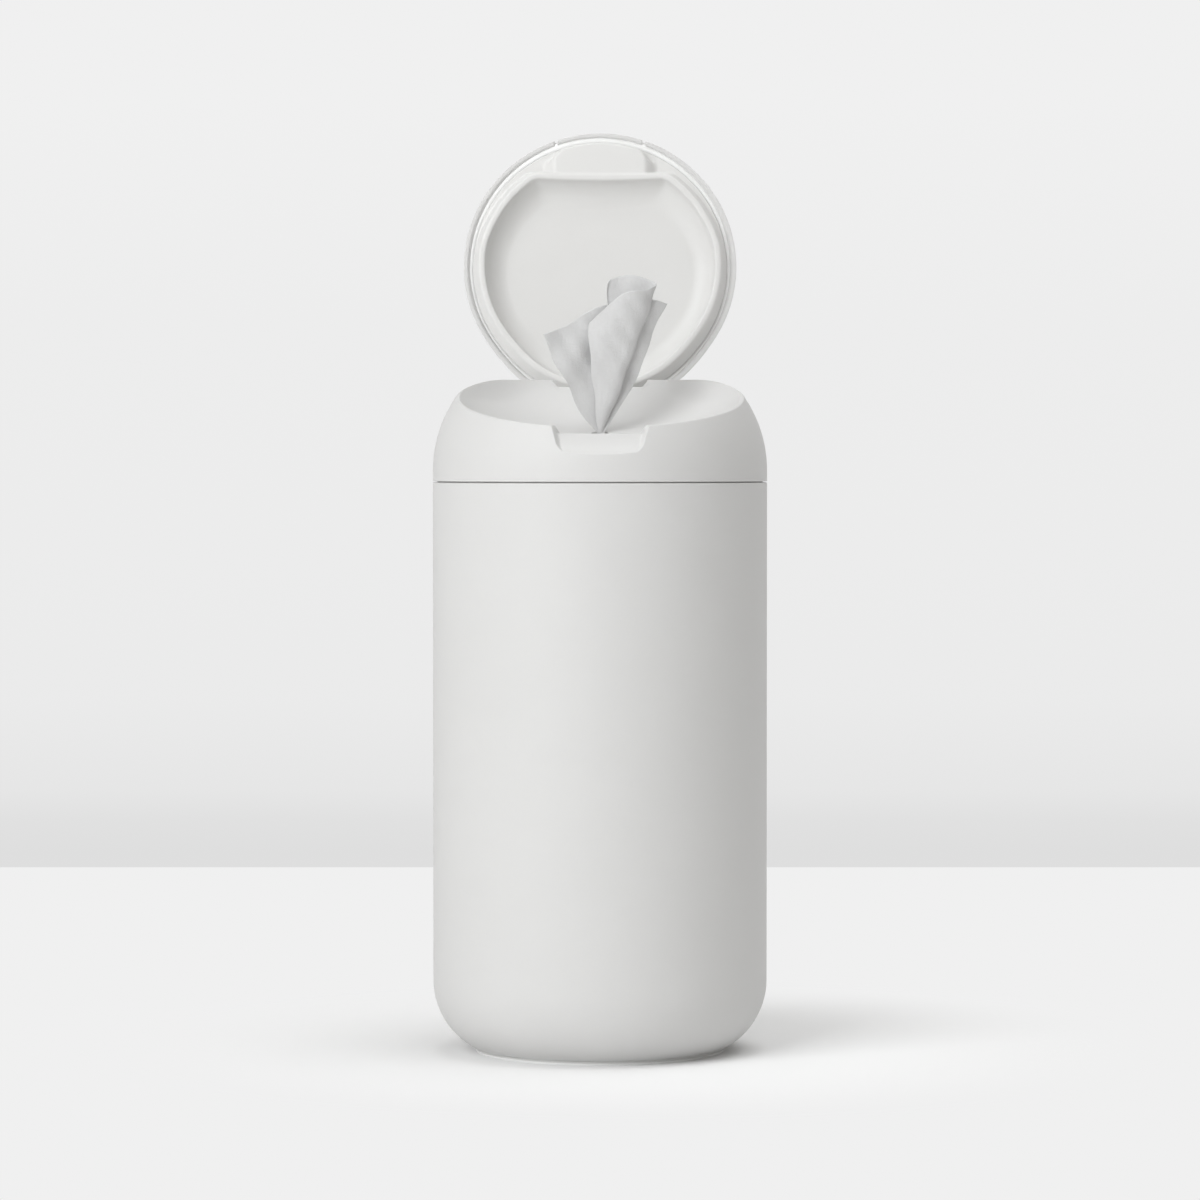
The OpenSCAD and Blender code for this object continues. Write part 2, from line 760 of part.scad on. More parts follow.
module lid_shell() {
    tab_notch_w = 1.2;
    color("whitesmoke") swung_open() difference() {
        union() {
            intersection() {
                dome(0);
                union() {
                    above_rim(lid_gap);
                    tongue_blocks();
                }
            }
            along_hinge(barrel_r, barrel_half_w);
        }
        difference() {
            dome(lid_wall);
            below_rim(-bond);
            tongue_root();
        }
        along_hinge(pin_d / 2 + 0.08, far / 4);
        // The barrel clips over the pin from above
        translate([-barrel_half_w - 1, hinge_y - pin_d * 0.42, hinge_z - barrel_r - 1])
            cube([2 * barrel_half_w + 2, pin_d * 0.84, barrel_r + 1]);
        for (side = [-1, 1])
            translate([side * (scoop_half_w + 0.9) - tab_notch_w / 2, -body_r, scoop_edge_z])
                cube([tab_notch_w, 6, 4.2]);
    }
}

// Everything behind a distance from the axis
module behind(y) {
    translate([-far / 2, y, 0]) cube([far, far, 2 * far]);
}

// The ridge's outside: a cone that keeps clear of the bowl's side
module lid_ridge() {
    foot_r = bowl_flat + sqrt(pow(bowl_round, 2) - pow(bowl_round - bowl_depth + ridge_h, 2)) - ridge_gap;
    rim_r = bowl_half_w - 1.4 * ridge_gap;
    slope = (rim_r - foot_r) / ridge_h;
    cylinder(h = far / 4, r1 = rim_r - bowl_depth * slope, r2 = rim_r + (far / 4 - bowl_depth) * slope);
}

module lid_liner() {
    inside = lid_wall + seal_w + 2 * fit_gap;
    recess_r = bowl_half_w - ridge_gap - 2 * ridge_w;
    recess_y = ridge_shift * cos(rim_tilt) - bowl_depth * sin(rim_tilt);
    color("white") swung_open() difference() {
        union() {
            intersection() {
                dome(inside);
                rim_layer(lid_gap + fit_gap, lid_gap + fit_gap + liner_t);
            }
            intersection() {
                dome(inside + bond);
                in_bowl() translate([0, ridge_shift, 0]) lid_ridge();
                rim_layer(-ridge_h, recess_h + liner_t);
                behind(-ridge_flat_y);
            }
            intersection() {
                dome(inside + 3);
                rim_layer(-block_h, lid_gap + liner_t);
                translate([-block_half_w, -ridge_flat_y - block_l, 0])
                    cube([2 * block_half_w, block_l + 0.5, 2 * far]);
            }
        }
        intersection() {
            below_rim(recess_h);
            behind(-ridge_flat_y + ridge_w);
            translate([0, recess_y, bowl_z]) cylinder(r = recess_r, h = far / 4);
        }
    }
}

module lid_seal() {
    color("gainsboro") swung_open() difference() {
        intersection() {
            dome(lid_wall + fit_gap);
            rim_layer(lid_gap - 0.1, lid_gap + 1.9);
        }
        dome(lid_wall + fit_gap + seal_w);
        tongue_root();
    }
}

body_shell();
base_weight();
base_cover();
base_screws();
foot_pad();
wipes_roll();
top_shell();
orifice_gasket();
gasket_retainer();
retainer_screws();
spigot_ring();
spigot_screws();
body_seal();
hinge_cradle();
cradle_screws();
hinge_pin();
next_wipe();
wipe();
lid_shell();
lid_liner();
lid_seal();
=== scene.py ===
"""Countertop wipes dispenser: a matte canister, a lift-off top with a tilted bowl, and an open lid."""

from __future__ import annotations

import json
import logging
import math
from dataclasses import dataclass
from enum import Enum
from typing import Callable, Sequence

import bmesh
import bpy
import numpy as np
from mathutils import Matrix, Vector


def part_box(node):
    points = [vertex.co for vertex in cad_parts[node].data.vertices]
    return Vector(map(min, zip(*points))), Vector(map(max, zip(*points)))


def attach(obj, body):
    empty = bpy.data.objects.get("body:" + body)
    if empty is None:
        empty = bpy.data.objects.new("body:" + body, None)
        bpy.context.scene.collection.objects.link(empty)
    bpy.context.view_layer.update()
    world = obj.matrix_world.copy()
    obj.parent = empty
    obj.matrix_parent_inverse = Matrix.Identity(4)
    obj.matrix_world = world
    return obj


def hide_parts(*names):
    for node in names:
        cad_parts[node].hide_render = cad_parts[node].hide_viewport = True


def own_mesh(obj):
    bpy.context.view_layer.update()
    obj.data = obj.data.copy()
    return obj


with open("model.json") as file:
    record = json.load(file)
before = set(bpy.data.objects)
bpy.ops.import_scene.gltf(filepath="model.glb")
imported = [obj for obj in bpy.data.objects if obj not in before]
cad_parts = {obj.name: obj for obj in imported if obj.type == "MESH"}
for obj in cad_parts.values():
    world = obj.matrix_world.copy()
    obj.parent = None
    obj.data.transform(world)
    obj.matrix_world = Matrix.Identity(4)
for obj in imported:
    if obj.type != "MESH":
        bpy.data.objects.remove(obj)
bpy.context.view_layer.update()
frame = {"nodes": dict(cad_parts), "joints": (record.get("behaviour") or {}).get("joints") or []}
log = logging.getLogger("dispenser")

MM = 0.001
IMAGE_SIDE = 1200
X, Y, Z = 0, 1, 2

# Numbers of rounds in which a place on a curved surface is found
HALVINGS = 40
BOWL_ROUNDS = 24
SEAL_ROUNDS = 30

# A length that counts as none, a length to divide by, and one past every piece, in millimetres
NO_LENGTH = 1e-9
TINY = 1e-6
FAR = 999.0


# Outlines shared by the pieces, in millimetres


def in_mm(metres: float) -> float:
    """A length of the frame in whole thousandths of a millimetre."""
    return round(metres / MM, 3)


def low(node: str, axis: int) -> float:
    """Lowest place of a CAD node along an axis."""
    return in_mm(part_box(node)[0][axis])


def high(node: str, axis: int) -> float:
    """Highest place of a CAD node along an axis."""
    return in_mm(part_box(node)[1][axis])


HINGE = next(joint for joint in frame["joints"] if joint["name"] == "lid_hinge")


@dataclass(frozen=True)
class Outline:
    """Sizes that the canister, the top and the lid share.

    They are in millimetres, the tilt of the rim is in radians, and the lid's opening in degrees.
    """

    body_r: float = high("body_shell", X)
    foot_r: float = high("foot_pad", X)
    pad_h: float = high("foot_pad", Z)
    foot_h: float = low("body_shell", Z)
    bottom_r: float = 27.3
    straight_z: float = 25.5
    body_top_z: float = high("body_shell", Z)
    skirt_z: float = low("top_shell", Z)
    shoulder_z: float = 208.4
    crown_r: float = 13.0
    rim_z: float = high("top_shell", Z)
    tilt: float = math.radians(12.45)
    bend_y: float = 24.6
    bend_r: float = 60.0
    bowl_z: float = in_mm(HINGE["deforming_nodes"][0]["fixed_end_z_m"])
    bowl_flat: float = 16.28
    bowl_round: float = 47.8
    bowl_steepest: float = 0.995
    bowl_front: float = 4.4
    bowl_back: float = 3.0
    hinge_y: float = in_mm(HINGE["pos_m"][Y])
    hinge_z: float = in_mm(HINGE["pos_m"][Z])
    lid_open: float = HINGE["range_deg"][1]

    def dome_r(self, z: np.ndarray, inset: float = 0.0) -> np.ndarray:
        """Radius of the shoulder at a height, drawn in by an inset.

        Args:
            z: Heights.
            inset: How far the wanted surface lies inside the outside.

        Returns:
            The radii.
        """
        round_r = self.body_r - self.crown_r - inset
        rise = np.clip(np.asarray(z, float) - self.shoulder_z, 0, round_r)
        return self.crown_r + np.sqrt(round_r**2 - rise**2)

    def rim_height(self, y: np.ndarray) -> np.ndarray:
        """Height of the rim at a distance behind the axis: a slope that bends level at the back.

        Args:
            y: Distances behind the axis.

        Returns:
            The heights.
        """
        y = np.asarray(y, float)
        level_y = self.bend_y + self.bend_r * math.tan(self.tilt / 2)
        slope_y = level_y - self.bend_r * math.sin(self.tilt)
        back = np.clip(level_y - y, 0, level_y - slope_y)
        arc = self.rim_z - self.bend_r + np.sqrt(self.bend_r**2 - back**2)
        slope = self.rim_z - math.tan(self.tilt) * (self.bend_y - y)
        return np.where(y < slope_y, slope, arc)

    def bowl_height(self, x: np.ndarray, y: np.ndarray) -> np.ndarray:
        """Height of the bowl's surface at a point in plan.

        Args:
            x: Distances to the right of the axis.
            y: Distances behind it.

        Returns:
            The heights.
        """
        z = np.full(np.shape(y), self.bowl_z, float)
        sin_t, cos_t = math.sin(self.tilt), math.cos(self.tilt)
        for _ in range(BOWL_ROUNDS):
            along = y * cos_t + (z - self.bowl_z) * sin_t
            stretch = np.where(along < 0, self.bowl_front, self.bowl_back)
            reach = np.hypot(x, np.maximum(np.abs(along) - stretch, 0))
            out = np.clip(reach - self.bowl_flat, 0, self.bowl_round * self.bowl_steepest)
            depth = self.bowl_round - np.sqrt(self.bowl_round**2 - out**2)
            z = self.bowl_z + (depth + y * sin_t) / cos_t
        return z


OUTLINE = Outline()


def solve(low: np.ndarray, high: np.ndarray, above: Callable[[np.ndarray], np.ndarray]) -> np.ndarray:
    """Finds by halving where a condition turns true between two arrays of numbers.

    Args:
        low: Numbers at which the condition is false.
        high: Numbers at which it is true.
        above: The condition, for an array of numbers.

    Returns:
        The array of turning points.
    """
    low, high = np.array(low, float), np.array(high, float)
    for _ in range(HALVINGS):
        middle = (low + high) / 2
        true = above(middle)
        high = np.where(true, middle, high)
        low = np.where(true, low, middle)
    return (low + high) / 2


def soft_min(a: np.ndarray, b: np.ndarray, blend: np.ndarray | float) -> np.ndarray:
    """The lower of two heights, with the corner between them filled by a blend.

    Args:
        a: The first heights.
        b: The second heights.
        blend: How far apart the two may be and still blend.

    Returns:
        The blended heights.
    """
    blend = np.maximum(blend, TINY)
    mix = np.maximum(blend - np.abs(a - b), 0) / blend
    return np.minimum(a, b) - mix * mix * blend / 4


def rounded(line: np.ndarray, reach: float, at: np.ndarray, closed: bool = False) -> np.ndarray:
    """Rounds a line of points by averaging it over a short reach, and reads it at given lengths.

    Args:
        line: Points in order.
        reach: Half of the averaged length.
        at: Lengths along the line at which the rounded line is read.
        closed: True if the line is a ring whose first point follows its last.

    Returns:
        The rounded points.
    """
    points = np.vstack([line, line[:1]]) if closed else line
    steps = np.linalg.norm(np.diff(points, axis=0), axis=1)
    length = np.concatenate([[0], np.cumsum(np.maximum(steps, NO_LENGTH))])
    total = length[-1]
    if closed:
        points = np.vstack([points[:-1], points[:-1], points])
        length = np.concatenate([length[:-1] - total, length[:-1], length + total])
    reach_at = np.full(len(at), reach) if closed else np.minimum(reach, np.minimum(at, total - at))
    reach_at = np.maximum(reach_at, TINY)
    out = np.empty((len(at), points.shape[1]))
    for axis in range(points.shape[1]):
        value = points[:, axis]
        area = np.concatenate([[0], np.cumsum((value[1:] + value[:-1]) / 2 * np.diff(length))])

        def integral(s: np.ndarray) -> np.ndarray:
            """Integral of the coordinate up to a length, exact between the points.

            Args:
                s: Lengths along the line.

            Returns:
                The integral up to each.
            """
            k = np.clip(np.searchsorted(length, s, side="right") - 1, 0, len(length) - 2)
            part = s - length[k]
            slope = (value[k + 1] - value[k]) / (length[k + 1] - length[k])
            return area[k] + value[k] * part + slope * part**2 / 2

        out[:, axis] = (integral(at + reach_at) - integral(at - reach_at)) / (2 * reach_at)
    return out


def lengths(line: np.ndarray) -> np.ndarray:
    """Length along a line of points, at each point."""
    return np.concatenate([[0], np.cumsum(np.linalg.norm(np.diff(line, axis=0), axis=1))])


def around(radius: np.ndarray, height: np.ndarray, angles: np.ndarray, centre_y: float = 0.0
           ) -> np.ndarray:
    """Places round an upright axis, by row and column.

    Args:
        radius: Distances from the axis, by row, or by row and column.
        height: Heights, in the same form.
        angles: Angle of each column from the front, in radians.
        centre_y: How far behind the canister's axis the axis stands.

    Returns:
        The places in X, Y and Z.
    """
    across = radius * np.sin(angles)
    along = centre_y - radius * np.cos(angles)
    return np.stack([across, along, np.broadcast_to(height, across.shape)], axis=-1)


def even_rings(points: np.ndarray, reach: float, rows: range) -> None:
    """Rounds the rings of places in some rows, each along its own length.

    Args:
        points: Places by row and column, which are changed.
        reach: Half of the averaged length.
        rows: The rows to round.
    """
    for row in rows:
        at = lengths(np.vstack([points[row], points[row, :1]]))[:-1]
        points[row] = rounded(points[row], reach, at, closed=True)


def column_angles(fine: Sequence[tuple[float, float]], fine_step: float, step: float) -> np.ndarray:
    """Angles of the columns round the axis, close together in some ranges on both sides.

    Args:
        fine: Ranges in degrees from the front, from 0 to 180, mirrored to the other side.
        fine_step: Step inside the ranges, in degrees.
        step: Step elsewhere.

    Returns:
        Angles in radians, from the front, over the whole turn.
    """
    half = [0.0]
    while half[-1] < 180:
        here = half[-1]
        inside = any(a <= here + NO_LENGTH < b for a, b in fine)
        gap = min((a - here for a, _ in fine if a > here + NO_LENGTH), default=FAR)
        half.append(here + (fine_step if inside else min(step, gap)))
    side = np.array(half[:-1])
    side = side[side < 180 - TINY]
    return np.radians(np.concatenate([side, [180.0], 360 - side[:0:-1]]))


# Meshes


def finish_mesh(mesh: bmesh.types.BMesh, name: str, merge: float = 0.0) -> bpy.types.Object:
    """Turns a bmesh in millimetres into a smooth object in metres.

    The operator that turns faces outwards now and then turns a thin closed piece inside out, so the
    sign of a closed piece's volume has the last word.

    Args:
        mesh: The bmesh, which is freed.
        name: Name of the new piece.
        merge: Distance in millimetres under which points are joined, or 0 for none.

    Returns:
        The new object, at the origin.
    """
    if merge:
        bmesh.ops.remove_doubles(mesh, verts=mesh.verts, dist=merge)
        bmesh.ops.dissolve_degenerate(mesh, edges=mesh.edges, dist=merge / 2)
    bmesh.ops.recalc_face_normals(mesh, faces=mesh.faces)
    closed = all(edge.is_manifold for edge in mesh.edges)
    if closed and mesh.calc_volume(signed=True) < 0:
        bmesh.ops.reverse_faces(mesh, faces=mesh.faces)
    bmesh.ops.transform(mesh, matrix=Matrix.Scale(MM, 4), verts=mesh.verts)
    for face in mesh.faces:
        face.smooth = True
    data = bpy.data.meshes.new(name)
    mesh.to_mesh(data)
    mesh.free()
    piece = bpy.data.objects.new(name, data)
    bpy.context.scene.collection.objects.link(piece)
    return piece


# Radii in millimetres of the plain tube or ring that is spun before its points are moved
SPIN_R = 10.0
SPIN_SECTION_R = 4.0
SPIN_MERGE = 1e-4


def spun(rows: int, columns: int, loop: bool) -> tuple[bmesh.types.BMesh, np.ndarray, np.ndarray]:
    """Spins a column of points into a tube whose points are then moved to their places.

    Args:
        rows: Points along the section.
        columns: Steps round the axis.
        loop: True if the section's last point joins its first.

    Returns:
        The bmesh, and each point's row and column.
    """
    mesh = bmesh.new()
    column = []
    for row in range(rows):
        angle = math.tau * row / rows
        ring_place = (SPIN_R + SPIN_SECTION_R * math.cos(angle), 0, SPIN_SECTION_R * math.sin(angle))
        column.append(mesh.verts.new(ring_place if loop else (SPIN_R, 0, row)))
    edges = [mesh.edges.new((a, b)) for a, b in zip(column, column[1:])]
    if loop:
        edges.append(mesh.edges.new((column[-1], column[0])))
    bmesh.ops.spin(mesh, geom=column + edges, cent=(0, 0, 0), axis=(0, 0, 1), dvec=(0, 0, 0),
                   angle=math.tau, steps=columns, use_merge=True, use_duplicate=False)
    bmesh.ops.remove_doubles(mesh, verts=mesh.verts, dist=SPIN_MERGE)
    places = np.array([v.co for v in mesh.verts])
    turn = np.arctan2(places[:, 1], places[:, 0]) % math.tau
    j = np.rint(turn / math.tau * columns).astype(int) % columns
    if loop:
        section_turn = np.arctan2(places[:, 2], np.hypot(places[:, 0], places[:, 1]) - SPIN_R) % math.tau
        i = np.rint(section_turn / math.tau * rows).astype(int) % rows
    else:
        i = np.rint(places[:, 2]).astype(int)
    return mesh, i, j


def shaped(name: str, points: np.ndarray, loop: bool, merge: float = 0.0) -> bpy.types.Object:
    """Makes a spun piece and moves its points to an array of places.

    Args:
        name: Name of the piece.
        points: Places by row and column, in millimetres.
        loop: True if the last row joins the first.
        merge: Distance under which points are joined, as at a pole.

    Returns:
        The new piece.
    """
    rows, columns = points.shape[:2]
    mesh, i, j = spun(rows, columns, loop)
    for vert, row, column in zip(mesh.verts, i, j):
        vert.co = points[row, column]
    return finish_mesh(mesh, name, merge)


# Where points stand at a corner, as shares of its softness, and the turn in radians that makes one
CORNER_POINTS = (-1.3, -0.8, -0.4, 0.0, 0.4, 0.8, 1.3)
CORNER_TURN = 0.3
CLOSEST_POINTS = 0.2


def lathe(name: str, section: Sequence[tuple[float, float]], soft: float = 0.3,
          columns: int = 256, step: float = 3.0) -> bpy.types.Object:
    """Turns a closed section of radius and height into a round piece with softened edges.

    Args:
        name: Name of the piece.
        section: Corners of the section, in order.
        soft: Reach over which its corners are rounded.
        columns: Steps round the axis.
        step: Longest step along the section.

    Returns:
        The new piece.
    """
    ring = np.array(section, float)
    closed = np.vstack([ring, ring[:1]])
    at = lengths(closed)
    leg = np.diff(closed, axis=0)
    heading = np.arctan2(leg[:, 1], leg[:, 0])
    turn = np.abs((heading - np.roll(heading, 1) + math.pi) % math.tau - math.pi)
    places = [at[:-1] + k for k in soft * np.array(CORNER_POINTS)]
    stops = np.concatenate([np.where(turn > CORNER_TURN, place, at[:-1]) for place in places])
    for start, end in zip(at, at[1:]):
        stops = np.append(stops, np.linspace(start, end, max(1, math.ceil((end - start) / step)) + 1))
    stops = np.sort(stops % at[-1])
    stops = stops[np.concatenate([[True], np.diff(stops) > soft * CLOSEST_POINTS])]
    line = rounded(ring, soft, stops, closed=True)
    angles = np.linspace(0, math.tau, columns, endpoint=False)
    return shaped(name, around(np.maximum(line[:, :1], 0.0), line[:, 1:], angles), True)


def apply_modifiers(piece: bpy.types.Object) -> None:
    """Makes what a piece's modifiers show its own mesh.

    Args:
        piece: The piece.
    """
    evaluated = piece.evaluated_get(bpy.context.evaluated_depsgraph_get())
    data = bpy.data.meshes.new_from_object(evaluated)
    piece.modifiers.clear()
    piece.data = data


def cut(piece: bpy.types.Object, cutter: bpy.types.Object) -> None:
    """Takes a cutter's space out of a piece and deletes the cutter.

    Args:
        piece: The piece that is cut.
        cutter: A closed piece in the cut's place.
    """
    modifier = piece.modifiers.new("cut", "BOOLEAN")
    modifier.operation = "DIFFERENCE"
    modifier.solver = "EXACT"
    modifier.object = cutter
    apply_modifiers(piece)
    bpy.data.objects.remove(cutter)


# Angle in radians between two faces past which their edge is softened
SHARP_EDGE = 0.6


def prism(name: str, section: Sequence[tuple[float, float]], half_w: float, soft: float = 0.0
          ) -> bpy.types.Object:
    """Extrudes a section in Y and Z along X, with softened edges.

    Args:
        name: Name of the piece.
        section: Corners in Y and Z, in order.
        half_w: Half of the length along X.
        soft: Width of the softened edges.

    Returns:
        The new piece.
    """
    mesh = bmesh.new()
    face = mesh.faces.new([mesh.verts.new((-half_w, y, z)) for y, z in section])
    moved = bmesh.ops.extrude_face_region(mesh, geom=[face])["geom"]
    bmesh.ops.translate(mesh, vec=(2 * half_w, 0, 0),
                        verts=[v for v in moved if isinstance(v, bmesh.types.BMVert)])
    if soft:
        sharp = [e for e in mesh.edges if e.calc_face_angle(0) > SHARP_EDGE]
        bmesh.ops.bevel(mesh, geom=sharp, offset=soft, affect="EDGES", segments=3, profile=0.5,
                        material=-1)
    return finish_mesh(mesh, name)


# Finishes


class Value:
    """A shader socket on which sums, differences and products add Math nodes."""

    def __init__(self, tree: bpy.types.NodeTree, socket: bpy.types.NodeSocket) -> None:
        """Wraps a socket of a node tree."""
        self.tree = tree
        self.socket = socket

    def _math(self, operation: str, a: Value | float, b: Value | float) -> Value:
        """Adds a Math node for two values."""
        return add_node(self.tree, "ShaderNodeMath", {"operation": operation}, {0: a, 1: b})["Value"]

    def __add__(self, other: Value | float) -> Value:
        """Sum."""
        return self._math("ADD", self, other)

    def __radd__(self, other: float) -> Value:
        """Sum with a number first."""
        return self._math("ADD", other, self)

    def __sub__(self, other: Value | float) -> Value:
        """Difference."""
        return self._math("SUBTRACT", self, other)

    def __rsub__(self, other: float) -> Value:
        """Difference from a number."""
        return self._math("SUBTRACT", other, self)

    def __mul__(self, other: Value | float) -> Value:
        """Product."""
        return self._math("MULTIPLY", self, other)

    def __rmul__(self, other: float) -> Value:
        """Product with a number first."""
        return self._math("MULTIPLY", other, self)


class Outputs:
    """The output sockets of a node, read as values."""

    def __init__(self, tree: bpy.types.NodeTree, node: bpy.types.Node) -> None:
        """Keeps the node and its tree."""
        self.tree = tree
        self.node = node

    def __getitem__(self, key: str | int) -> Value:
        """The output of that name or place."""
        return Value(self.tree, self.node.outputs[key])


def add_node(tree: bpy.types.NodeTree, kind: str, settings: dict[str, object],
             inputs: dict[str | int, object]) -> Outputs:
    """Adds one node with its settings, and gives its sockets values or links.

    Args:
        tree: The node tree.
        kind: Type name of the node.
        settings: Properties that are set first; "stops" are a ramp's places and colours.
        inputs: A value or a Value for each named socket.

    Returns:
        The node's outputs.
    """
    node = tree.nodes.new(kind)
    for key, value in settings.items():
        if key == "stops":
            ramp = node.color_ramp
            while len(ramp.elements) < len(value):
                ramp.elements.new(0.5)
            for element, (place, colour) in zip(ramp.elements, value):
                element.position = place
                element.color = (*colour, 1.0)
        else:
            setattr(node, key, value)
    for key, value in inputs.items():
        if isinstance(value, Value):
            tree.links.new(value.socket, node.inputs[key])
        else:
            node.inputs[key].default_value = value
    return Outputs(tree, node)


def empty_material(name: str) -> bpy.types.Material:
    """A new material whose node tree is still empty.

    Args:
        name: Its name.

    Returns:
        The material.
    """
    made = bpy.data.materials.new(name)
    made.use_nodes = True
    made.node_tree.nodes.clear()
    return made


class Grain(Enum):
    """Kinds of fine surface that a finish has."""

    MOULDED = "moulded"
    BRUSHED = "brushed"
    SOFT = "soft"
    FIBRE = "fibre"


@dataclass(frozen=True)
class Finish:
    """A surface finish: its colour, gloss and fine grain, and a broad change of tone over the piece."""

    name: str
    slot: str
    colour: tuple[float, float, float]
    roughness: float
    grain: Grain = Grain.MOULDED
    metallic: float = 0.0
    specular: float = 0.5
    grain_scale: float = 1400.0
    grain_depth: float = 0.00002
    tone: float = 0.02
    broad_scale: float = 34.0
    broad_share: float = 0.6
    gloss_spread: float = 0.14
    subsurface: float = 0.0
    subsurface_depth: float = 0.0012
    subsurface_tint: tuple[float, float, float] = (1.0, 0.95, 0.9)
    sheen: float = 0.0
    sheen_roughness: float = 0.6
    brush_stretch: tuple[float, float, float] = (1.0, 22.0, 1.0)
    brush_scale: float = 0.1
    fibre_stretches: tuple[tuple[float, float, float], ...] = ((1.0, 1.0, 0.22), (0.25, 1.0, 1.0))
    fibre_turn: tuple[float, float, float] = (0.3, 0.5, 0.2)
    fibre_scale: float = 0.8
    fibre_share: float = 0.35
    fleck_share: float = 0.3

    def material(self) -> bpy.types.Material:
        """The finish as a node material, made once.

        Returns:
            The material, the same one for each call.
        """
        made = bpy.data.materials.get(self.name)
        if made:
            return made
        made = empty_material(self.name)
        tree = made.node_tree
        place = add_node(tree, "ShaderNodeTexCoord", {}, {})["Object"]
        fine = self._grain(tree, place)
        broad = add_node(tree, "ShaderNodeTexNoise", {}, {
            "Vector": place, "Scale": self.broad_scale, "Detail": 3.0, "Roughness": 0.55})["Fac"]
        mixed = broad * self.broad_share + fine * (1 - self.broad_share)
        shade = add_node(tree, "ShaderNodeMapRange", {}, {
            "Value": mixed, "From Min": 0.3, "From Max": 0.7, "To Min": 0.0, "To Max": 1.0})["Result"]
        dark = tuple(c * (1 - self.tone) for c in self.colour)
        light = tuple(min(1.0, c * (1 + self.tone)) for c in self.colour)
        colour = add_node(tree, "ShaderNodeMix", {"data_type": "RGBA"}, {
            0: shade, 6: (*dark, 1.0), 7: (*light, 1.0)})[2]
        bump = add_node(tree, "ShaderNodeBump", {}, {
            "Strength": 1.0, "Distance": self.grain_depth, "Height": fine})["Normal"]
        inputs: dict[str | int, object] = {
            "Base Color": colour, "Roughness": (broad - 0.5) * self.gloss_spread + self.roughness,
            "Metallic": self.metallic, "Specular IOR Level": self.specular, "Normal": bump}
        if self.subsurface:
            inputs["Subsurface Weight"] = self.subsurface
            inputs["Subsurface Radius"] = self.subsurface_tint
            inputs["Subsurface Scale"] = self.subsurface_depth
        if self.sheen:
            inputs["Sheen Weight"] = self.sheen
            inputs["Sheen Roughness"] = self.sheen_roughness
        surface = add_node(tree, "ShaderNodeBsdfPrincipled", {}, inputs)["BSDF"]
        add_node(tree, "ShaderNodeOutputMaterial", {}, {"Surface": surface})
        return made

    def _grain(self, tree: bpy.types.NodeTree, place: Value) -> Value:
        """The fine grain's height, from 0 to 1.

        Args:
            tree: The material's node tree.
            place: Place on the piece.

        Returns:
            The height.
        """
        if self.grain is Grain.BRUSHED:
            turned = add_node(tree, "ShaderNodeMapping", {}, {
                "Vector": place, "Scale": self.brush_stretch})["Vector"]
            return add_node(tree, "ShaderNodeTexNoise", {}, {
                "Vector": turned, "Scale": self.grain_scale * self.brush_scale, "Detail": 4.0})["Fac"]
        fine = add_node(tree, "ShaderNodeTexNoise", {}, {
            "Vector": place, "Scale": self.grain_scale, "Detail": 3.0, "Roughness": 0.6})["Fac"]
        if self.grain is not Grain.FIBRE:
            return fine
        strands = []
        for stretch in self.fibre_stretches:
            turned = add_node(tree, "ShaderNodeMapping", {}, {
                "Vector": place, "Scale": stretch, "Rotation": self.fibre_turn})["Vector"]
            strands.append(add_node(tree, "ShaderNodeTexNoise", {}, {
                "Vector": turned, "Scale": self.grain_scale * self.fibre_scale, "Detail": 2.0,
                "Distortion": 0.6})["Fac"])
        return (strands[0] + strands[1]) * self.fibre_share + fine * self.fleck_share


SHELL = Finish("matte_shell", "shell_plastic", (0.628, 0.624, 0.617), 0.52, tone=0.012, specular=0.4)
LINER = Finish("smooth_liner", "inner_plastic", (0.69, 0.685, 0.674), 0.45, tone=0.01, specular=0.4,
               grain_depth=0.00001)
SILICONE = Finish("soft_silicone", "soft_silicone", (0.655, 0.652, 0.64), 0.55, Grain.SOFT,
                  specular=0.4, subsurface=0.08, grain_scale=900.0)
BALLAST = Finish("ballast_steel", "ballast_steel", (0.42, 0.43, 0.45), 0.38, Grain.BRUSHED,
                 metallic=1.0, tone=0.08)
ZINC = Finish("zinc_steel", "fastener_steel", (0.60, 0.60, 0.61), 0.32, Grain.BRUSHED,
              metallic=1.0, tone=0.06)
CLOTH = Finish("nonwoven_cloth", "nonwoven", (0.60, 0.598, 0.598), 0.92, Grain.FIBRE, specular=0.15,
               grain_scale=1300.0, grain_depth=0.0003, tone=0.07, sheen=0.1)
ROLL_CLOTH = Finish("wound_cloth", "nonwoven", (0.76, 0.76, 0.755), 0.92, Grain.FIBRE, specular=0.15,
                    grain_scale=900.0, grain_depth=0.0002, tone=0.06)


def dress(piece: bpy.types.Object, finish: Finish, body: str | None = None,
          replaces: Sequence[str] = ()) -> bpy.types.Object:
    """Gives a piece its finish, its body and the nodes that it stands for.

    Args:
        piece: The piece, or a node of the frame.
        finish: Its finish.
        body: The body that it rides on, or None for a node.
        replaces: Names of the nodes that it replaces.

    Returns:
        The same piece.
    """
    piece.data.materials.clear()
    piece.data.materials.append(finish.material())
    if body:
        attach(piece, body)
    if replaces:
        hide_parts(*replaces)
    log.info("%s: %d faces, %s", piece.name, len(piece.data.polygons), finish.name)
    return piece


# Sub-assemblies


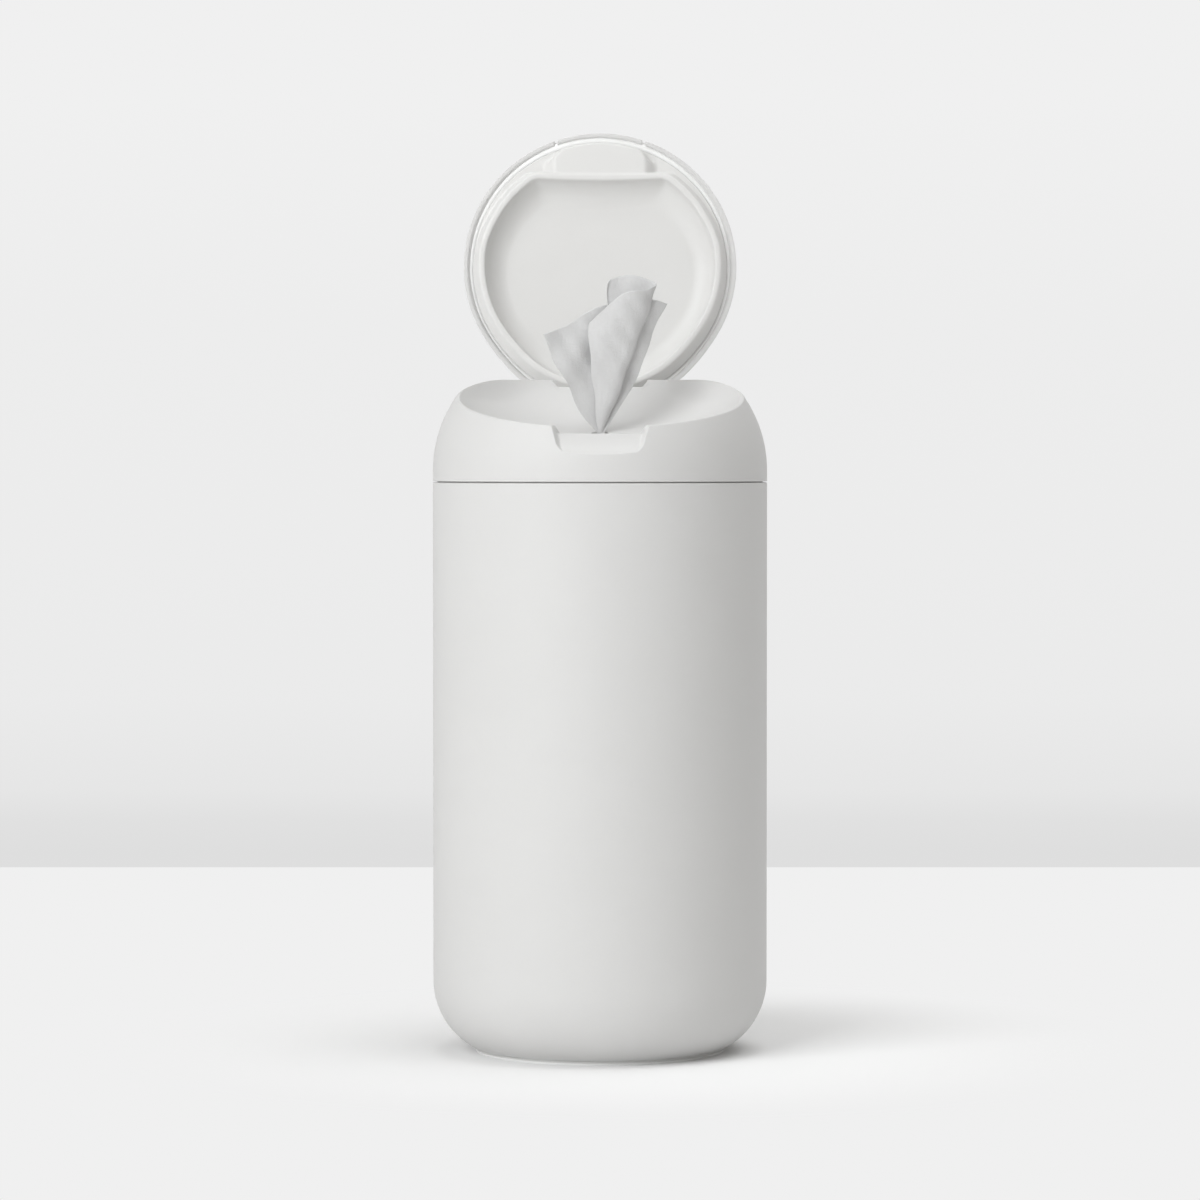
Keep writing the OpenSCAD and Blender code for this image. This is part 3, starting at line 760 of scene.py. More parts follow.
@dataclass
class Canister:
    """The weighted canister, its foot and the roll inside."""

    wall: float = 2.4
    floor_z: float = low("wipes_roll", Z)
    pocket_r: float = 41.95
    pocket_z: float = 11.0
    edge: float = 0.5
    bottom_rows: int = 36
    inner_rows: int = 16
    side_rows: int = 30
    cover_step_r: float = 41.8
    cover_top_z: float = high("base_cover", Z)
    cover_gap: float = 0.03
    pad_gap: float = 0.05
    foot_edge: float = 0.16
    roll_r: float = high("wipes_roll", X)
    core_r: float = 19.0
    roll_top_z: float = high("wipes_roll", Z)
    roll_edge: float = 0.35
    roll_turns: int = 14
    groove_depth: float = 0.9
    side_ripple: float = 0.25
    core_ripple: float = 0.5
    ripple_low: float = 0.4
    side_high: float = 1.4
    core_high: float = 1.2
    side_ripples: int = 16
    core_ripples: int = 24

    def body(self) -> bpy.types.Object:
        """The canister's shell.

        Returns:
            The new piece.
        """
        o = OUTLINE
        centre_r = o.body_r - o.bottom_r
        start = math.asin((o.straight_z - o.foot_h) / o.bottom_r)
        outer = [(centre_r + o.bottom_r * math.cos(a), o.straight_z - o.bottom_r * math.sin(a))
                 for a in np.linspace(start, 0, self.bottom_rows)]
        inner_r = o.bottom_r - self.wall
        inner_start = math.asin(min(1.0, (o.straight_z - self.floor_z) / inner_r))
        inner = [(centre_r + inner_r * math.cos(a), o.straight_z - inner_r * math.sin(a))
                 for a in np.linspace(0, inner_start, self.inner_rows)]
        side = [(o.body_r, z) for z in np.linspace(o.straight_z, o.body_top_z, self.side_rows)[1:]]
        floor = [(0.0, self.floor_z), (0.0, self.pocket_z), (self.pocket_r, self.pocket_z),
                 (self.pocket_r, o.foot_h)]
        mouth = [(o.body_r - self.wall, o.body_top_z)]
        return lathe("canister_shell", outer + side + mouth + inner + floor, self.edge)

    def foot(self) -> list[bpy.types.Object]:
        """The foot's two layers: the cover's edge and the soft pad.

        Returns:
            The cover and the pad.
        """
        o = OUTLINE
        cover_z, pad_z = o.foot_h - self.cover_gap, o.pad_h - self.pad_gap
        cover = lathe("foot_cover", [(0.0, o.pad_h), (o.foot_r, o.pad_h), (o.foot_r, cover_z),
                                     (self.cover_step_r, cover_z), (self.cover_step_r, self.cover_top_z),
                                     (0.0, self.cover_top_z)], self.foot_edge)
        pad = lathe("foot_pad_soft", [(0.0, 0.0), (o.foot_r, 0.0), (o.foot_r, pad_z), (0.0, pad_z)],
                    self.foot_edge)
        return [cover, pad]

    def roll(self) -> bpy.types.Object:
        """The roll, its ends ridged by the turns of the wound web.

        Returns:
            The new piece.
        """
        bottom, top = self.floor_z, self.roll_top_z
        turns = np.linspace(self.core_r, self.roll_r, 2 * self.roll_turns + 1)
        end = [(r, top - (0.0 if k % 2 else self.groove_depth)) for k, r in enumerate(turns)]
        side_z = np.linspace(bottom + self.ripple_low, top - self.side_high, self.side_ripples)
        side = [(self.roll_r - self.side_ripple * (k % 2), z) for k, z in enumerate(side_z)]
        core_z = np.linspace(top - self.core_high, bottom + self.ripple_low, self.core_ripples)
        core = [(self.core_r + self.core_ripple * (k % 2), z) for k, z in enumerate(core_z)]
        section = core + [(self.core_r, bottom), (self.roll_r, bottom)] + side + end[::-1]
        return lathe("roll_of_wipes", section, self.roll_edge, columns=160, step=8.0)

    def build(self) -> None:
        """Builds and dresses the canister's pieces."""
        dress(self.body(), SHELL, "canister", ["body_shell"])
        cover, pad = self.foot()
        dress(cover, LINER, "canister", ["base_cover"])
        dress(pad, SILICONE, "canister", ["foot_pad"])
        dress(self.roll(), ROLL_CLOTH, "canister", ["wipes_roll"])
        dress(frame["nodes"]["base_weight"], BALLAST)
        dress(frame["nodes"]["base_screws"], ZINC)


@dataclass(frozen=True)
class RimMarks:
    """Lengths along the top's section: the skirt's end, both edges of the rim, and the bowl's hole."""

    skirt: float
    rim_out: float
    rim_in: float
    hole: float


@dataclass
class Top:
    """The lift-off top: dome, sloping rim, bowl, finger scoop and hinge notch."""

    wall: float = 2.4
    bowl_wall: float = 2.2
    hole_r: float = 3.0
    soft: float = 0.5
    rim_soft: float = 0.6
    ring_soft: float = 0.7
    brim_slope: float = 1.7
    brim_blend: float = 2.0

    # The finger scoop, pressed into the front of the dome
    scoop_z: float = 221.5
    scoop_low_z: float = 214.3
    scoop_half_w: float = 16.8
    scoop_taper: float = 0.27
    scoop_mouth_z: float = 224.0
    scoop_corner: float = 4.2
    scoop_side_rise: float = 4.2
    scoop_blend: float = 2.6
    scoop_blend_share: float = 0.8
    scoop_front_cos: float = 0.8
    scoop_least_cos: float = 0.5
    hollow_y: float = 63.7
    hollow_z: float = 223.4
    hollow_r: float = 10.0

    # What scoop and notch cut out of the rim: from where, and how steeply their sides rise
    scoop_from_y: float = -38.0
    scoop_edge_y: float = 56.0
    scoop_edge_in: float = 0.9
    scoop_slope: float = 7.0
    notch_from_y: float = 30.0
    notch_half_w: float = 16.8
    notch_z: float = 239.15
    notch_slope: float = 14.0

    # The pocket in which the lid's barrel turns, and how far its cutter reaches past the dome
    pocket_y: float = 43.42
    pocket_r: float = 6.4
    pocket_rows: int = 9
    cutter_top_z: float = 262.0
    cutter_back_y: float = 70.0

    # The section's corners
    rim_search: tuple[float, float] = (209.0, 250.0)
    skirt_top_z: float = 213.0
    bowl_edge_r: float = 38.0
    under_r: float = 40.0
    under_rim: float = 5.0
    under_rise: float = 3.0
    thin_wall: float = 0.8
    mouth_r: float = 58.25
    mouth_h: float = 2.0

    # Numbers of points that the sharp section has on each stretch
    skirt_rows: int = 8
    dome_rows: int = 90
    rim_rows: int = 110
    bowl_rows: int = 36
    under_rows: int = 10
    inner_rows: int = 8

    # Where the mesh has its points: close together at the skirt's edge, the rim and the hole
    fine_ranges: tuple[tuple[float, float], ...] = ((9.5, 19.5), (159.5, 163.0))
    fine_step: float = 0.14
    column_step: float = 1.2
    skirt_points: tuple[float, ...] = (0.0, 0.12, 0.25, 0.4, 0.7, 1.4)
    skirt_from: float = 2.4
    skirt_count: int = 5
    stretch_count: int = 46
    rim_reach: float = 1.6
    rim_least: float = 0.2
    rim_count: int = 30
    hole_points: tuple[float, ...] = (-0.5, -0.2, 0.1, 0.4, 0.8, 1.6)
    hole_before: float = 0.8
    hole_after: float = 2.6
    bowl_spread: float = 1.1
    under_count: int = 16
    mouth_before: float = 3.6
    mouth_points: tuple[float, ...] = (-3.0, -2.0, -1.75, -1.5, -0.8, -0.3)

    def outer_radius(self, angle: np.ndarray, z: np.ndarray) -> np.ndarray:
        """Radius of the outside at an angle and height, with the finger scoop pressed in.

        Args:
            angle: Angles from the front, in radians.
            z: Heights.

        Returns:
            The radii.
        """
        dome = OUTLINE.dome_r(z)
        front = np.cos(angle) > self.scoop_front_cos
        lift = np.clip(self.hollow_r**2 - (z - self.hollow_z) ** 2, 0, None)
        hollow = (self.hollow_y - np.sqrt(lift)) / np.maximum(np.cos(angle), self.scoop_least_cos)
        depth = np.where(np.abs(z - self.hollow_z) < self.hollow_r, np.maximum(dome - hollow, 0), 0)
        side = np.abs(dome * np.sin(angle))
        half_w = self.scoop_half_w - self.scoop_taper * np.maximum(self.scoop_mouth_z - z, 0)
        over = np.maximum(side - half_w + self.scoop_corner, 0)
        under = np.maximum(self.scoop_low_z + self.scoop_corner - z, 0)
        inside = self.scoop_corner - np.hypot(over, under)
        wall = np.maximum(inside, 0) * self.scoop_side_rise
        blend = np.minimum(self.scoop_blend, depth * self.scoop_blend_share)
        pressed = np.maximum(soft_min(depth, wall, blend), 0)
        return dome - np.where(front, pressed, 0)

    def cut_height(self, x: np.ndarray, y: np.ndarray) -> np.ndarray:
        """Height above which scoop and notch leave nothing standing.

        Args:
            x: Distances to the right of the axis.
            y: Distances behind it.

        Returns:
            The heights.
        """
        scoop_side = np.abs(y) * (self.scoop_half_w - self.scoop_edge_in) / self.scoop_edge_y
        front = self.scoop_z + np.maximum(np.abs(x) - scoop_side, 0) * self.scoop_slope
        back = self.notch_z + np.maximum(np.abs(x) - self.notch_half_w, 0) * self.notch_slope
        return np.where(y < self.scoop_from_y, front, np.where(y > self.notch_from_y, back, FAR))

    def section(self, angle: float) -> tuple[np.ndarray, RimMarks]:
        """The sharp section at one angle.

        Args:
            angle: Angle from the front, in radians.

        Returns:
            Radius and height along the whole section, and the lengths at its marks.
        """
        o = OUTLINE
        sin_a, cos_a = math.sin(angle), math.cos(angle)

        def over_rim(z: np.ndarray) -> np.ndarray:
            """True where the outside at that height is above the rim or the cut.

            Args:
                z: Heights.

            Returns:
                The truth at each height.
            """
            r = self.outer_radius(np.full_like(z, angle), z)
            x, y = r * sin_a, -r * cos_a
            limit = np.minimum(o.rim_height(y), self.cut_height(x, y))
            return z > limit

        search_low, search_high = self.rim_search
        top_z = float(solve(np.array([search_low]), np.array([search_high]), over_rim)[0])
        steps = np.concatenate([np.linspace(o.skirt_z, self.skirt_top_z, self.skirt_rows)[:-1],
                                np.linspace(self.skirt_top_z, top_z, self.dome_rows)])
        outside = np.stack([self.outer_radius(np.full_like(steps, angle), steps), steps], axis=1)
        reach = np.concatenate([np.linspace(outside[-1, 0], self.bowl_edge_r, self.rim_rows)[1:],
                                np.linspace(self.bowl_edge_r, self.hole_r, self.bowl_rows)[1:]])
        x, y = reach * sin_a, -reach * cos_a
        bowl = o.bowl_height(x, y)
        if cos_a < 0:
            brim = top_z - self.brim_slope * (reach[0] - reach)
            bowl = -soft_min(-bowl, -brim, self.brim_blend)
        limit = np.minimum(o.rim_height(y), self.cut_height(x, y))
        inside = np.stack([reach, np.minimum(bowl, limit)], axis=1)
        land_end = int(np.argmax(bowl < limit))
        under_r = np.linspace(self.hole_r, self.under_r, self.under_rows)
        under = np.stack([under_r, o.bowl_height(under_r * sin_a, -under_r * cos_a) - self.bowl_wall],
                         axis=1)
        turn_z = min(top_z - self.under_rim, float(under[-1, 1]) + self.under_rise)
        mouth_z = o.skirt_z + self.mouth_h
        inner_z = np.linspace(turn_z, mouth_z, self.inner_rows)
        behind_scoop = self.outer_radius(np.full_like(inner_z, angle), inner_z) - self.wall * self.thin_wall
        inner = np.stack([np.minimum(o.dome_r(inner_z, self.wall), behind_scoop), inner_z], axis=1)
        mouth = np.array([[self.mouth_r, mouth_z], [self.mouth_r, o.skirt_z]])
        line = np.vstack([outside, inside, under, inner, mouth])
        at = lengths(line)
        rim = len(outside) - 1
        marks = (self.skirt_rows - 1, rim, rim + 1 + land_end, rim + len(inside))
        return line, RimMarks(*(float(at[mark]) for mark in marks))

    def stops(self, marks: RimMarks, total: float) -> np.ndarray:
        """Lengths along the section at which the mesh has its points.

        Args:
            marks: Lengths at the section's marks.
            total: Length all round the section.

        Returns:
            The lengths, from the skirt's outer edge over the rim and round to its inner edge.
        """
        rim = np.linspace(marks.rim_out - self.rim_reach,
                          max(marks.rim_in, marks.rim_out + self.rim_least) + self.rim_reach,
                          self.rim_count)
        bowl_share = np.linspace(0, 1, self.stretch_count)[1:] ** self.bowl_spread
        return np.concatenate([
            self.skirt_points, np.linspace(self.skirt_from, marks.skirt, self.skirt_count),
            np.linspace(marks.skirt, rim[0], self.stretch_count)[1:-1], rim,
            rim[-1] + (marks.hole - self.hole_before - rim[-1]) * bowl_share,
            marks.hole + np.array(self.hole_points),
            np.linspace(marks.hole + self.hole_after, total - self.mouth_before, self.under_count),
            total + np.array(self.mouth_points)])

    def pocket(self) -> bpy.types.Object:
        """The space that the notch takes out of the shell down to the lid's barrel.

        Returns:
            The cutter.
        """
        y, z = OUTLINE.hinge_y, OUTLINE.hinge_z
        arc = [(y - self.pocket_r * math.cos(a), z - self.pocket_r * math.sin(a))
               for a in np.linspace(0, math.pi / 2, self.pocket_rows)]
        front = [(self.pocket_y, self.cutter_top_z), (self.pocket_y, z)]
        back = [(self.cutter_back_y, z - self.pocket_r), (self.cutter_back_y, self.cutter_top_z)]
        return prism("pocket", front + arc + back, self.notch_half_w)

    def shell(self) -> bpy.types.Object:
        """The top's shell with rounded rim.

        Returns:
            The new piece.
        """
        angles = column_angles(self.fine_ranges, self.fine_step, self.column_step)
        rows = []
        for angle in angles:
            line, marks = self.section(float(angle))
            total = lengths(np.vstack([line, line[:1]]))[-1]
            stops = self.stops(marks, total)
            rows.append(rounded(line, self.soft * self.rim_soft, stops % total, closed=True))
        grid = np.array(rows).transpose(1, 0, 2)
        points = around(grid[:, :, 0], grid[:, :, 1], angles)
        even_rings(points, self.soft * self.ring_soft, range(len(points)))
        piece = shaped("top_shell_skin", points, True)
        cut(piece, self.pocket())
        return piece

    def build(self) -> None:
        """Builds the shell and dresses the fittings below it."""
        dress(self.shell(), SHELL, "top", ["top_shell"])
        for node in ("gasket_retainer", "spigot_ring", "hinge_cradle"):
            dress(frame["nodes"][node], LINER)
        for node in ("orifice_gasket", "body_seal"):
            dress(frame["nodes"][node], SILICONE)
        for node in ("retainer_screws", "spigot_screws", "cradle_screws", "hinge_pin"):
            dress(frame["nodes"][node], ZINC)


@dataclass
class Lid:
    """The domed lid with its liner, drawn closed and swung open."""

    wall: float = 1.3
    gap: float = 0.5
    soft: float = 0.6
    even_soft: float = 0.8
    pole_merge: float = 0.002

    # The dome and the two small notches in its edge beside the finger scoop
    edge_search: tuple[float, float] = (209.0, 252.0)
    tab_x: float = 16.5
    tab_half_w: float = 0.6
    tab_h: float = 1.1
    tab_front_y: float = -40.0
    dome_ranges: tuple[tuple[float, float], ...] = ((14.5, 19.0),)
    dome_fine_step: float = 0.2
    column_step: float = 1.25
    crown_rows: int = 5
    side_rows: int = 60
    lip_reach: float = 1.2
    outside_count: int = 56
    lip_count: int = 26
    inside_count: int = 22

    # The soft seal between the dome's wall and the liner
    seal: float = 3.6
    seal_tuck: float = 0.3
    seal_lap: float = 0.1
    seal_drop: float = 1.1
    seal_side_drop: float = 2.0
    seal_inner_h: float = 0.25
    seal_top_h: float = 3.4
    seal_columns: int = 240
    seal_start_r: float = 50.0

    # The liner: its land, the D-shaped ridge and the recessed floor inside it
    land_h: float = 0.15
    ring_y: float = -2.2
    ring_r: float = 48.4
    flat_y: float = 42.6
    flat_least_cos: float = 0.05
    corner_blend: float = 1.2
    ridge_h: float = 4.0
    ridge_slope_w: float = 2.3
    crest_w: float = 2.2
    crest_soft: float = 0.75
    recess_h: float = 3.5
    fillet: float = 8.5
    liner_t: float = 1.8
    liner_search: tuple[float, float] = (20.0, 70.0)
    flange_w: float = 8.0
    flange_t: float = 1.1
    ridge_in: float = 0.1
    floor_in: float = 0.5
    liner_ranges: tuple[tuple[float, float], ...] = ((20.0, 28.0), (30.0, 44.0))
    liner_fine_step: float = 0.4
    land_rows: int = 40
    ridge_rows: int = 90
    floor_rows: int = 14
    back_rows: int = 12
    edge_w: float = 1.6
    edge_least: float = 1.7
    edge_count: int = 8
    land_count: int = 20
    ridge_count: int = 70
    floor_count: int = 14

    # The block at the front of the liner
    block_half_w: float = 21.8
    block_slope_w: float = 5.5
    block_h: float = 3.3
    block_nose_w: float = 16.4
    block_nose_blend: float = 3.0
    block_back: float = 2.3
    block_front_w: float = 1.1
    block_blend: float = 0.5

    # The tongue down the notch, the web below it and the barrel on the pin
    tongue_half_w: float = 16.1
    tongue_front_y: float = 43.9
    tongue_low_z: float = 237.0
    tongue_over: float = 2.2
    tongue_front_over: float = 1.9
    tongue_soft: float = 0.35
    tongue_rows: int = 9
    web_front_y: float = 43.95
    web_top_z: float = 237.3
    web_over_pin: float = 2.2
    web_soft: float = 0.3
    web_rows: int = 5
    back_in: float = 0.05
    barrel_half_w: float = 13.2
    barrel_r: float = 3.6
    barrel_bore_r: float = 1.6
    barrel_from: float = -68.0
    barrel_to: float = 248.0
    barrel_rows: int = 40

    def swing(self, piece: bpy.types.Object) -> bpy.types.Object:
        """Swings a piece drawn closed to the open pose.

        Args:
            piece: The piece.

        Returns:
            The same piece.
        """
        at = Vector((0, OUTLINE.hinge_y * MM, OUTLINE.hinge_z * MM))
        turn = Matrix.Rotation(-math.radians(OUTLINE.lid_open), 4, "X")
        piece.data.transform(Matrix.Translation(at) @ turn @ Matrix.Translation(-at))
        return piece

    def edge_height(self, x: np.ndarray, y: np.ndarray) -> np.ndarray:
        """Height of the lid's edge, with the two small notches beside the finger scoop."""
        beside = (np.abs(np.abs(x) - self.tab_x) < self.tab_half_w) & (y < self.tab_front_y)
        return OUTLINE.rim_height(y) + self.gap + np.where(beside, self.tab_h, 0.0)

    def wall_curve(self, inset: float, angle: float) -> np.ndarray:
        """The wall's curve at one angle from the crown down to the lid's edge.

        Args:
            inset: How far the curve lies inside the dome's outside.
            angle: Angle from the front, in radians.

        Returns:
            Radius and height along the curve.
        """
        o = OUTLINE
        sin_a, cos_a = math.sin(angle), math.cos(angle)

        def above(z: np.ndarray) -> np.ndarray:
            """True above the edge."""
            r = o.dome_r(z, inset)
            return z > self.edge_height(r * sin_a, -r * cos_a)

        search_low, search_high = self.edge_search
        edge_z = float(solve(np.array([search_low]), np.array([search_high]), above)[0])
        round_r = o.body_r - o.crown_r - inset
        start = math.asin(min(1.0, (edge_z - o.shoulder_z) / round_r))
        arc = np.linspace(math.pi / 2, start, self.side_rows)
        curve = np.stack([o.crown_r + round_r * np.cos(arc), o.shoulder_z + round_r * np.sin(arc)], axis=1)
        crown_r = np.linspace(0, o.crown_r, self.crown_rows)[:-1]
        crown = np.stack([crown_r, np.full(len(crown_r), o.shoulder_z + round_r)], axis=1)
        return np.vstack([crown, curve])

    def shell(self) -> bpy.types.Object:
        """The lid's outer shell.

        Returns:
            The new piece.
        """
        angles = column_angles(self.dome_ranges, self.dome_fine_step, self.column_step)
        rows = []
        for angle in angles:
            outer = self.wall_curve(0.0, float(angle))
            inner = self.wall_curve(self.wall, float(angle))[::-1]
            line = np.vstack([outer, inner])
            at = lengths(line)
            lip_from, lip_to = at[len(outer) - 1] - self.lip_reach, at[len(outer)] + self.lip_reach
            stops = np.concatenate([np.linspace(0, lip_from, self.outside_count)[:-1],
                                    np.linspace(lip_from, lip_to, self.lip_count),
                                    np.linspace(lip_to, at[-1], self.inside_count)[1:]])
            rows.append(rounded(line, self.soft * self.even_soft, stops))
        grid = np.array(rows).transpose(1, 0, 2)
        grid[0, :, 0] = 0
        grid[-1, :, 0] = 0
        points = around(grid[:, :, 0], grid[:, :, 1], angles)
        return self.swing(shaped("lid_dome", points, False, merge=self.pole_merge))

    def ridge_radius(self, angle: np.ndarray) -> np.ndarray:
        """Radius of the ridge's outer foot about the ring's centre, flat at the front.

        Args:
            angle: Angles from the front, in radians.

        Returns:
            The radii.
        """
        flat = (self.flat_y + self.ring_y) / np.maximum(np.cos(angle), self.flat_least_cos)
        flat = np.where(np.cos(angle) > self.flat_least_cos, flat, FAR)
        return soft_min(np.full_like(angle, self.ring_r), flat, self.corner_blend)

    def profile(self, inward: np.ndarray) -> np.ndarray:
        """Height over the rim at a distance inward from the ridge's outer foot.

        Args:
            inward: Distances inward, negative outside the foot.

        Returns:
            The heights.
        """
        land = self.gap + self.land_h
        rise = -self.ridge_h - land
        outer = np.clip(inward / self.ridge_slope_w, 0, 1)
        crest_end = self.ridge_slope_w + self.crest_w
        fall = np.clip((inward - crest_end) / self.fillet, 0, 1)
        inner = np.sqrt(np.clip(1 - (1 - fall) ** 2, 0, 1))
        return land + rise * outer + (self.recess_h + self.ridge_h) * inner

    def block_share(self, x: np.ndarray, y: np.ndarray, to_edge: np.ndarray) -> np.ndarray:
        """Share of the front block's height at a point, 0 outside the block.

        Args:
            x: Distances to the right of the axis.
            y: Distances behind it.
            to_edge: Distances inward from the liner's edge.

        Returns:
            The shares, from 0 to 1.
        """
        side = np.clip((self.block_half_w - np.abs(x)) / self.block_slope_w, 0, 1)
        beside_nose = (np.abs(x) - self.block_nose_w) / self.block_nose_blend
        back = self.block_back * np.clip(beside_nose + 0.5, 0, 1)
        front = np.clip((to_edge - back) / self.block_front_w, 0, 1)
        return np.where(y < 0, side * side * (3 - 2 * side) * front, 0.0)

    def liner_edge(self, angle: float) -> float:
        """Radius about the ring's centre at which the liner meets the seal.

        Args:
            angle: Angle from the front, in radians.

        Returns:
            The radius.
        """
        sin_a, cos_a = math.sin(angle), math.cos(angle)

        def outside(r: np.ndarray) -> np.ndarray:
            """True where the radius is past the seal."""
            x, y = r * sin_a, self.ring_y - r * cos_a
            return np.hypot(x, y) > OUTLINE.dome_r(OUTLINE.rim_height(y) + self.gap) - self.seal

        search_low, search_high = self.liner_search
        return float(solve(np.array([search_low]), np.array([search_high]), outside)[0])

    def liner_section(self, angle: float, ridge_foot: float) -> tuple[np.ndarray, np.ndarray, int]:
        """The liner's section at one angle about the ring's centre.

        Args:
            angle: Angle from the front, in radians.
            ridge_foot: Radius of the ridge's outer foot.

        Returns:
            Radius and height along the face and the back, the lengths at which the mesh has its
            points, and how many of these lie on the face.
        """
        o = OUTLINE
        sin_a, cos_a = math.sin(angle), math.cos(angle)
        crest_end = self.ridge_slope_w + self.crest_w
        reach = crest_end + self.fillet
        edge = self.liner_edge(angle)
        foot = min(ridge_foot, edge - self.ridge_in)
        r = np.concatenate([np.linspace(edge, foot, self.land_rows)[:-1],
                            foot - np.linspace(0, reach, self.ridge_rows),
                            np.linspace(foot - reach - self.floor_in, 0, self.floor_rows)])
        x, y = r * sin_a, self.ring_y - r * cos_a
        ring = self.profile(foot - r)
        land = self.gap + self.land_h
        block = land - (self.block_h + land) * self.block_share(x, y, edge - r)
        before_recess = r > foot - self.ridge_slope_w - self.crest_w
        height = np.where(before_recess, soft_min(ring, block, self.block_blend), ring)
        face = np.stack([r, o.rim_height(y) + height], axis=1)
        back_r = np.linspace(0, edge, self.back_rows)
        rise = np.where(back_r < foot - self.flange_w, self.recess_h + self.liner_t,
                        self.gap + self.flange_t)
        back = np.stack([back_r, o.rim_height(self.ring_y - back_r * cos_a) + rise], axis=1)
        line = np.vstack([face, back])
        at = lengths(line)
        foot_at = max(at[self.land_rows - 1], self.edge_least)
        recess_at = at[self.land_rows + self.ridge_rows - 2]
        centre_at = at[len(face) - 1]
        on_face = np.concatenate([np.linspace(0, self.edge_w, self.edge_count)[:-1],
                                  np.linspace(self.edge_w, foot_at, self.land_count)[:-1],
                                  np.linspace(foot_at, recess_at, self.ridge_count)[:-1],
                                  np.linspace(recess_at, centre_at, self.floor_count)])
        on_back = np.linspace(centre_at, at[-1], self.floor_count)[1:]
        return line, np.concatenate([on_face, on_back]), len(on_face)

    def liner(self) -> bpy.types.Object:
        """The liner that faces the bowl: its land, D-shaped ridge, front block and recessed floor.

        Returns:
            The new piece.
        """
        angles = column_angles(self.liner_ranges, self.liner_fine_step, self.column_step)
        rows = []
        for angle, ridge_foot in zip(angles, self.ridge_radius(angles)):
            line, stops, face_count = self.liner_section(float(angle), float(ridge_foot))
            rows.append(rounded(line, self.crest_soft, stops))
        centre = face_count - 1
        grid = np.array(rows).transpose(1, 0, 2)
        grid[centre, :, 0] = 0
        grid[centre, :, 1] = grid[centre, :, 1].mean()
        grid[-1] = grid[0]
        points = around(grid[:, :, 0], grid[:, :, 1], angles, self.ring_y)
        even_rings(points, self.soft * self.even_soft, range(1, centre))
        return self.swing(shaped("lid_liner_skin", points, False, merge=self.pole_merge))

    def seal_ring(self) -> bpy.types.Object:
        """The soft band between the lid's wall and the liner, its face sloped to the wall.

        Returns:
            The new piece.
        """
        angles = np.linspace(0, math.tau, self.seal_columns, endpoint=False)
        o = OUTLINE
        outer_in, inner_in = self.wall - self.seal_tuck, self.seal + self.seal_lap
        corners = ((outer_in, self.seal_drop, self.seal_side_drop),
                   (inner_in, self.gap + self.seal_inner_h, 0.0),
                   (inner_in, self.seal_top_h, 0.0), (outer_in, self.seal_top_h, 0.0))
        rows = []
        for inset, rise, side_rise in corners:
            radius = np.full_like(angles, self.seal_start_r)
            for _ in range(SEAL_ROUNDS):
                y = -radius * np.cos(angles)
                radius = (radius + o.dome_r(o.rim_height(y) + self.gap) - inset) / 2
            y = -radius * np.cos(angles)
            rows.append(around(radius, o.rim_height(y) + rise + side_rise * np.sin(angles) ** 2, angles))
        return self.swing(shaped("lid_seal_band", np.array(rows), True))

    def tongue(self) -> bpy.types.Object:
        """The tongue that carries the lid's outside down the notch.

        Returns:
            The new piece.
        """
        heights = np.linspace(self.tongue_low_z, OUTLINE.rim_z + self.tongue_over, self.tongue_rows)
        front = [(self.tongue_front_y, OUTLINE.rim_z + self.tongue_front_over),
                 (self.tongue_front_y, self.tongue_low_z)]
        return self.swing(prism("lid_tongue", front + self.dome_back(heights), self.tongue_half_w,
                                self.tongue_soft))

    def neck(self) -> bpy.types.Object:
        """The web between tongue and barrel.

        Returns:
            The new piece.
        """
        low_z = OUTLINE.hinge_z + self.web_over_pin
        heights = np.linspace(low_z, self.web_top_z, self.web_rows)
        front = [(self.web_front_y, self.web_top_z), (self.web_front_y, low_z)]
        return self.swing(prism("lid_hinge_web", front + self.dome_back(heights), self.barrel_half_w,
                                self.web_soft))

    def dome_back(self, heights: np.ndarray) -> list[tuple[float, float]]:
        """Corners in Y and Z just inside the back of the dome, at the given heights."""
        return [(float(r) - self.back_in, float(z)) for r, z in zip(OUTLINE.dome_r(heights), heights)]

    def barrel(self) -> bpy.types.Object:
        """The clip-on barrel under the tongue, with an open side.

        Returns:
            The new piece.
        """
        y, z = OUTLINE.hinge_y, OUTLINE.hinge_z
        ring = np.linspace(math.radians(self.barrel_from), math.radians(self.barrel_to), self.barrel_rows)
        outer = [(y + self.barrel_r * math.cos(a), z + self.barrel_r * math.sin(a)) for a in ring]
        bore = [(y + self.barrel_bore_r * math.cos(a), z + self.barrel_bore_r * math.sin(a))
                for a in ring[::-1]]
        return self.swing(prism("lid_barrel", outer + bore, self.barrel_half_w))

    def build(self) -> None:
        """Builds and dresses the lid's pieces."""
        dress(self.shell(), SHELL, "lid", ["lid_shell"])
        for piece in (self.tongue(), self.barrel(), self.neck()):
            dress(piece, SHELL, "lid")
        dress(self.liner(), LINER, "lid", ["lid_liner"])
        dress(self.seal_ring(), SILICONE, "lid", ["lid_seal"])


@dataclass(frozen=True)
class Fold:
    """One fold of the cloth: how high it stands, how far back, and how far to the side as it rises.

    The places to the side are given at the shares of its height in Wipe.shares.
    """

    height: float
    depth: float
    side: tuple[float, ...]


@dataclass(frozen=True)
class Wave:
    """A slight wave over the cloth: its height, how fast it runs across and up, and its offset."""

    height: float
    across: float
    up: float
    offset: float


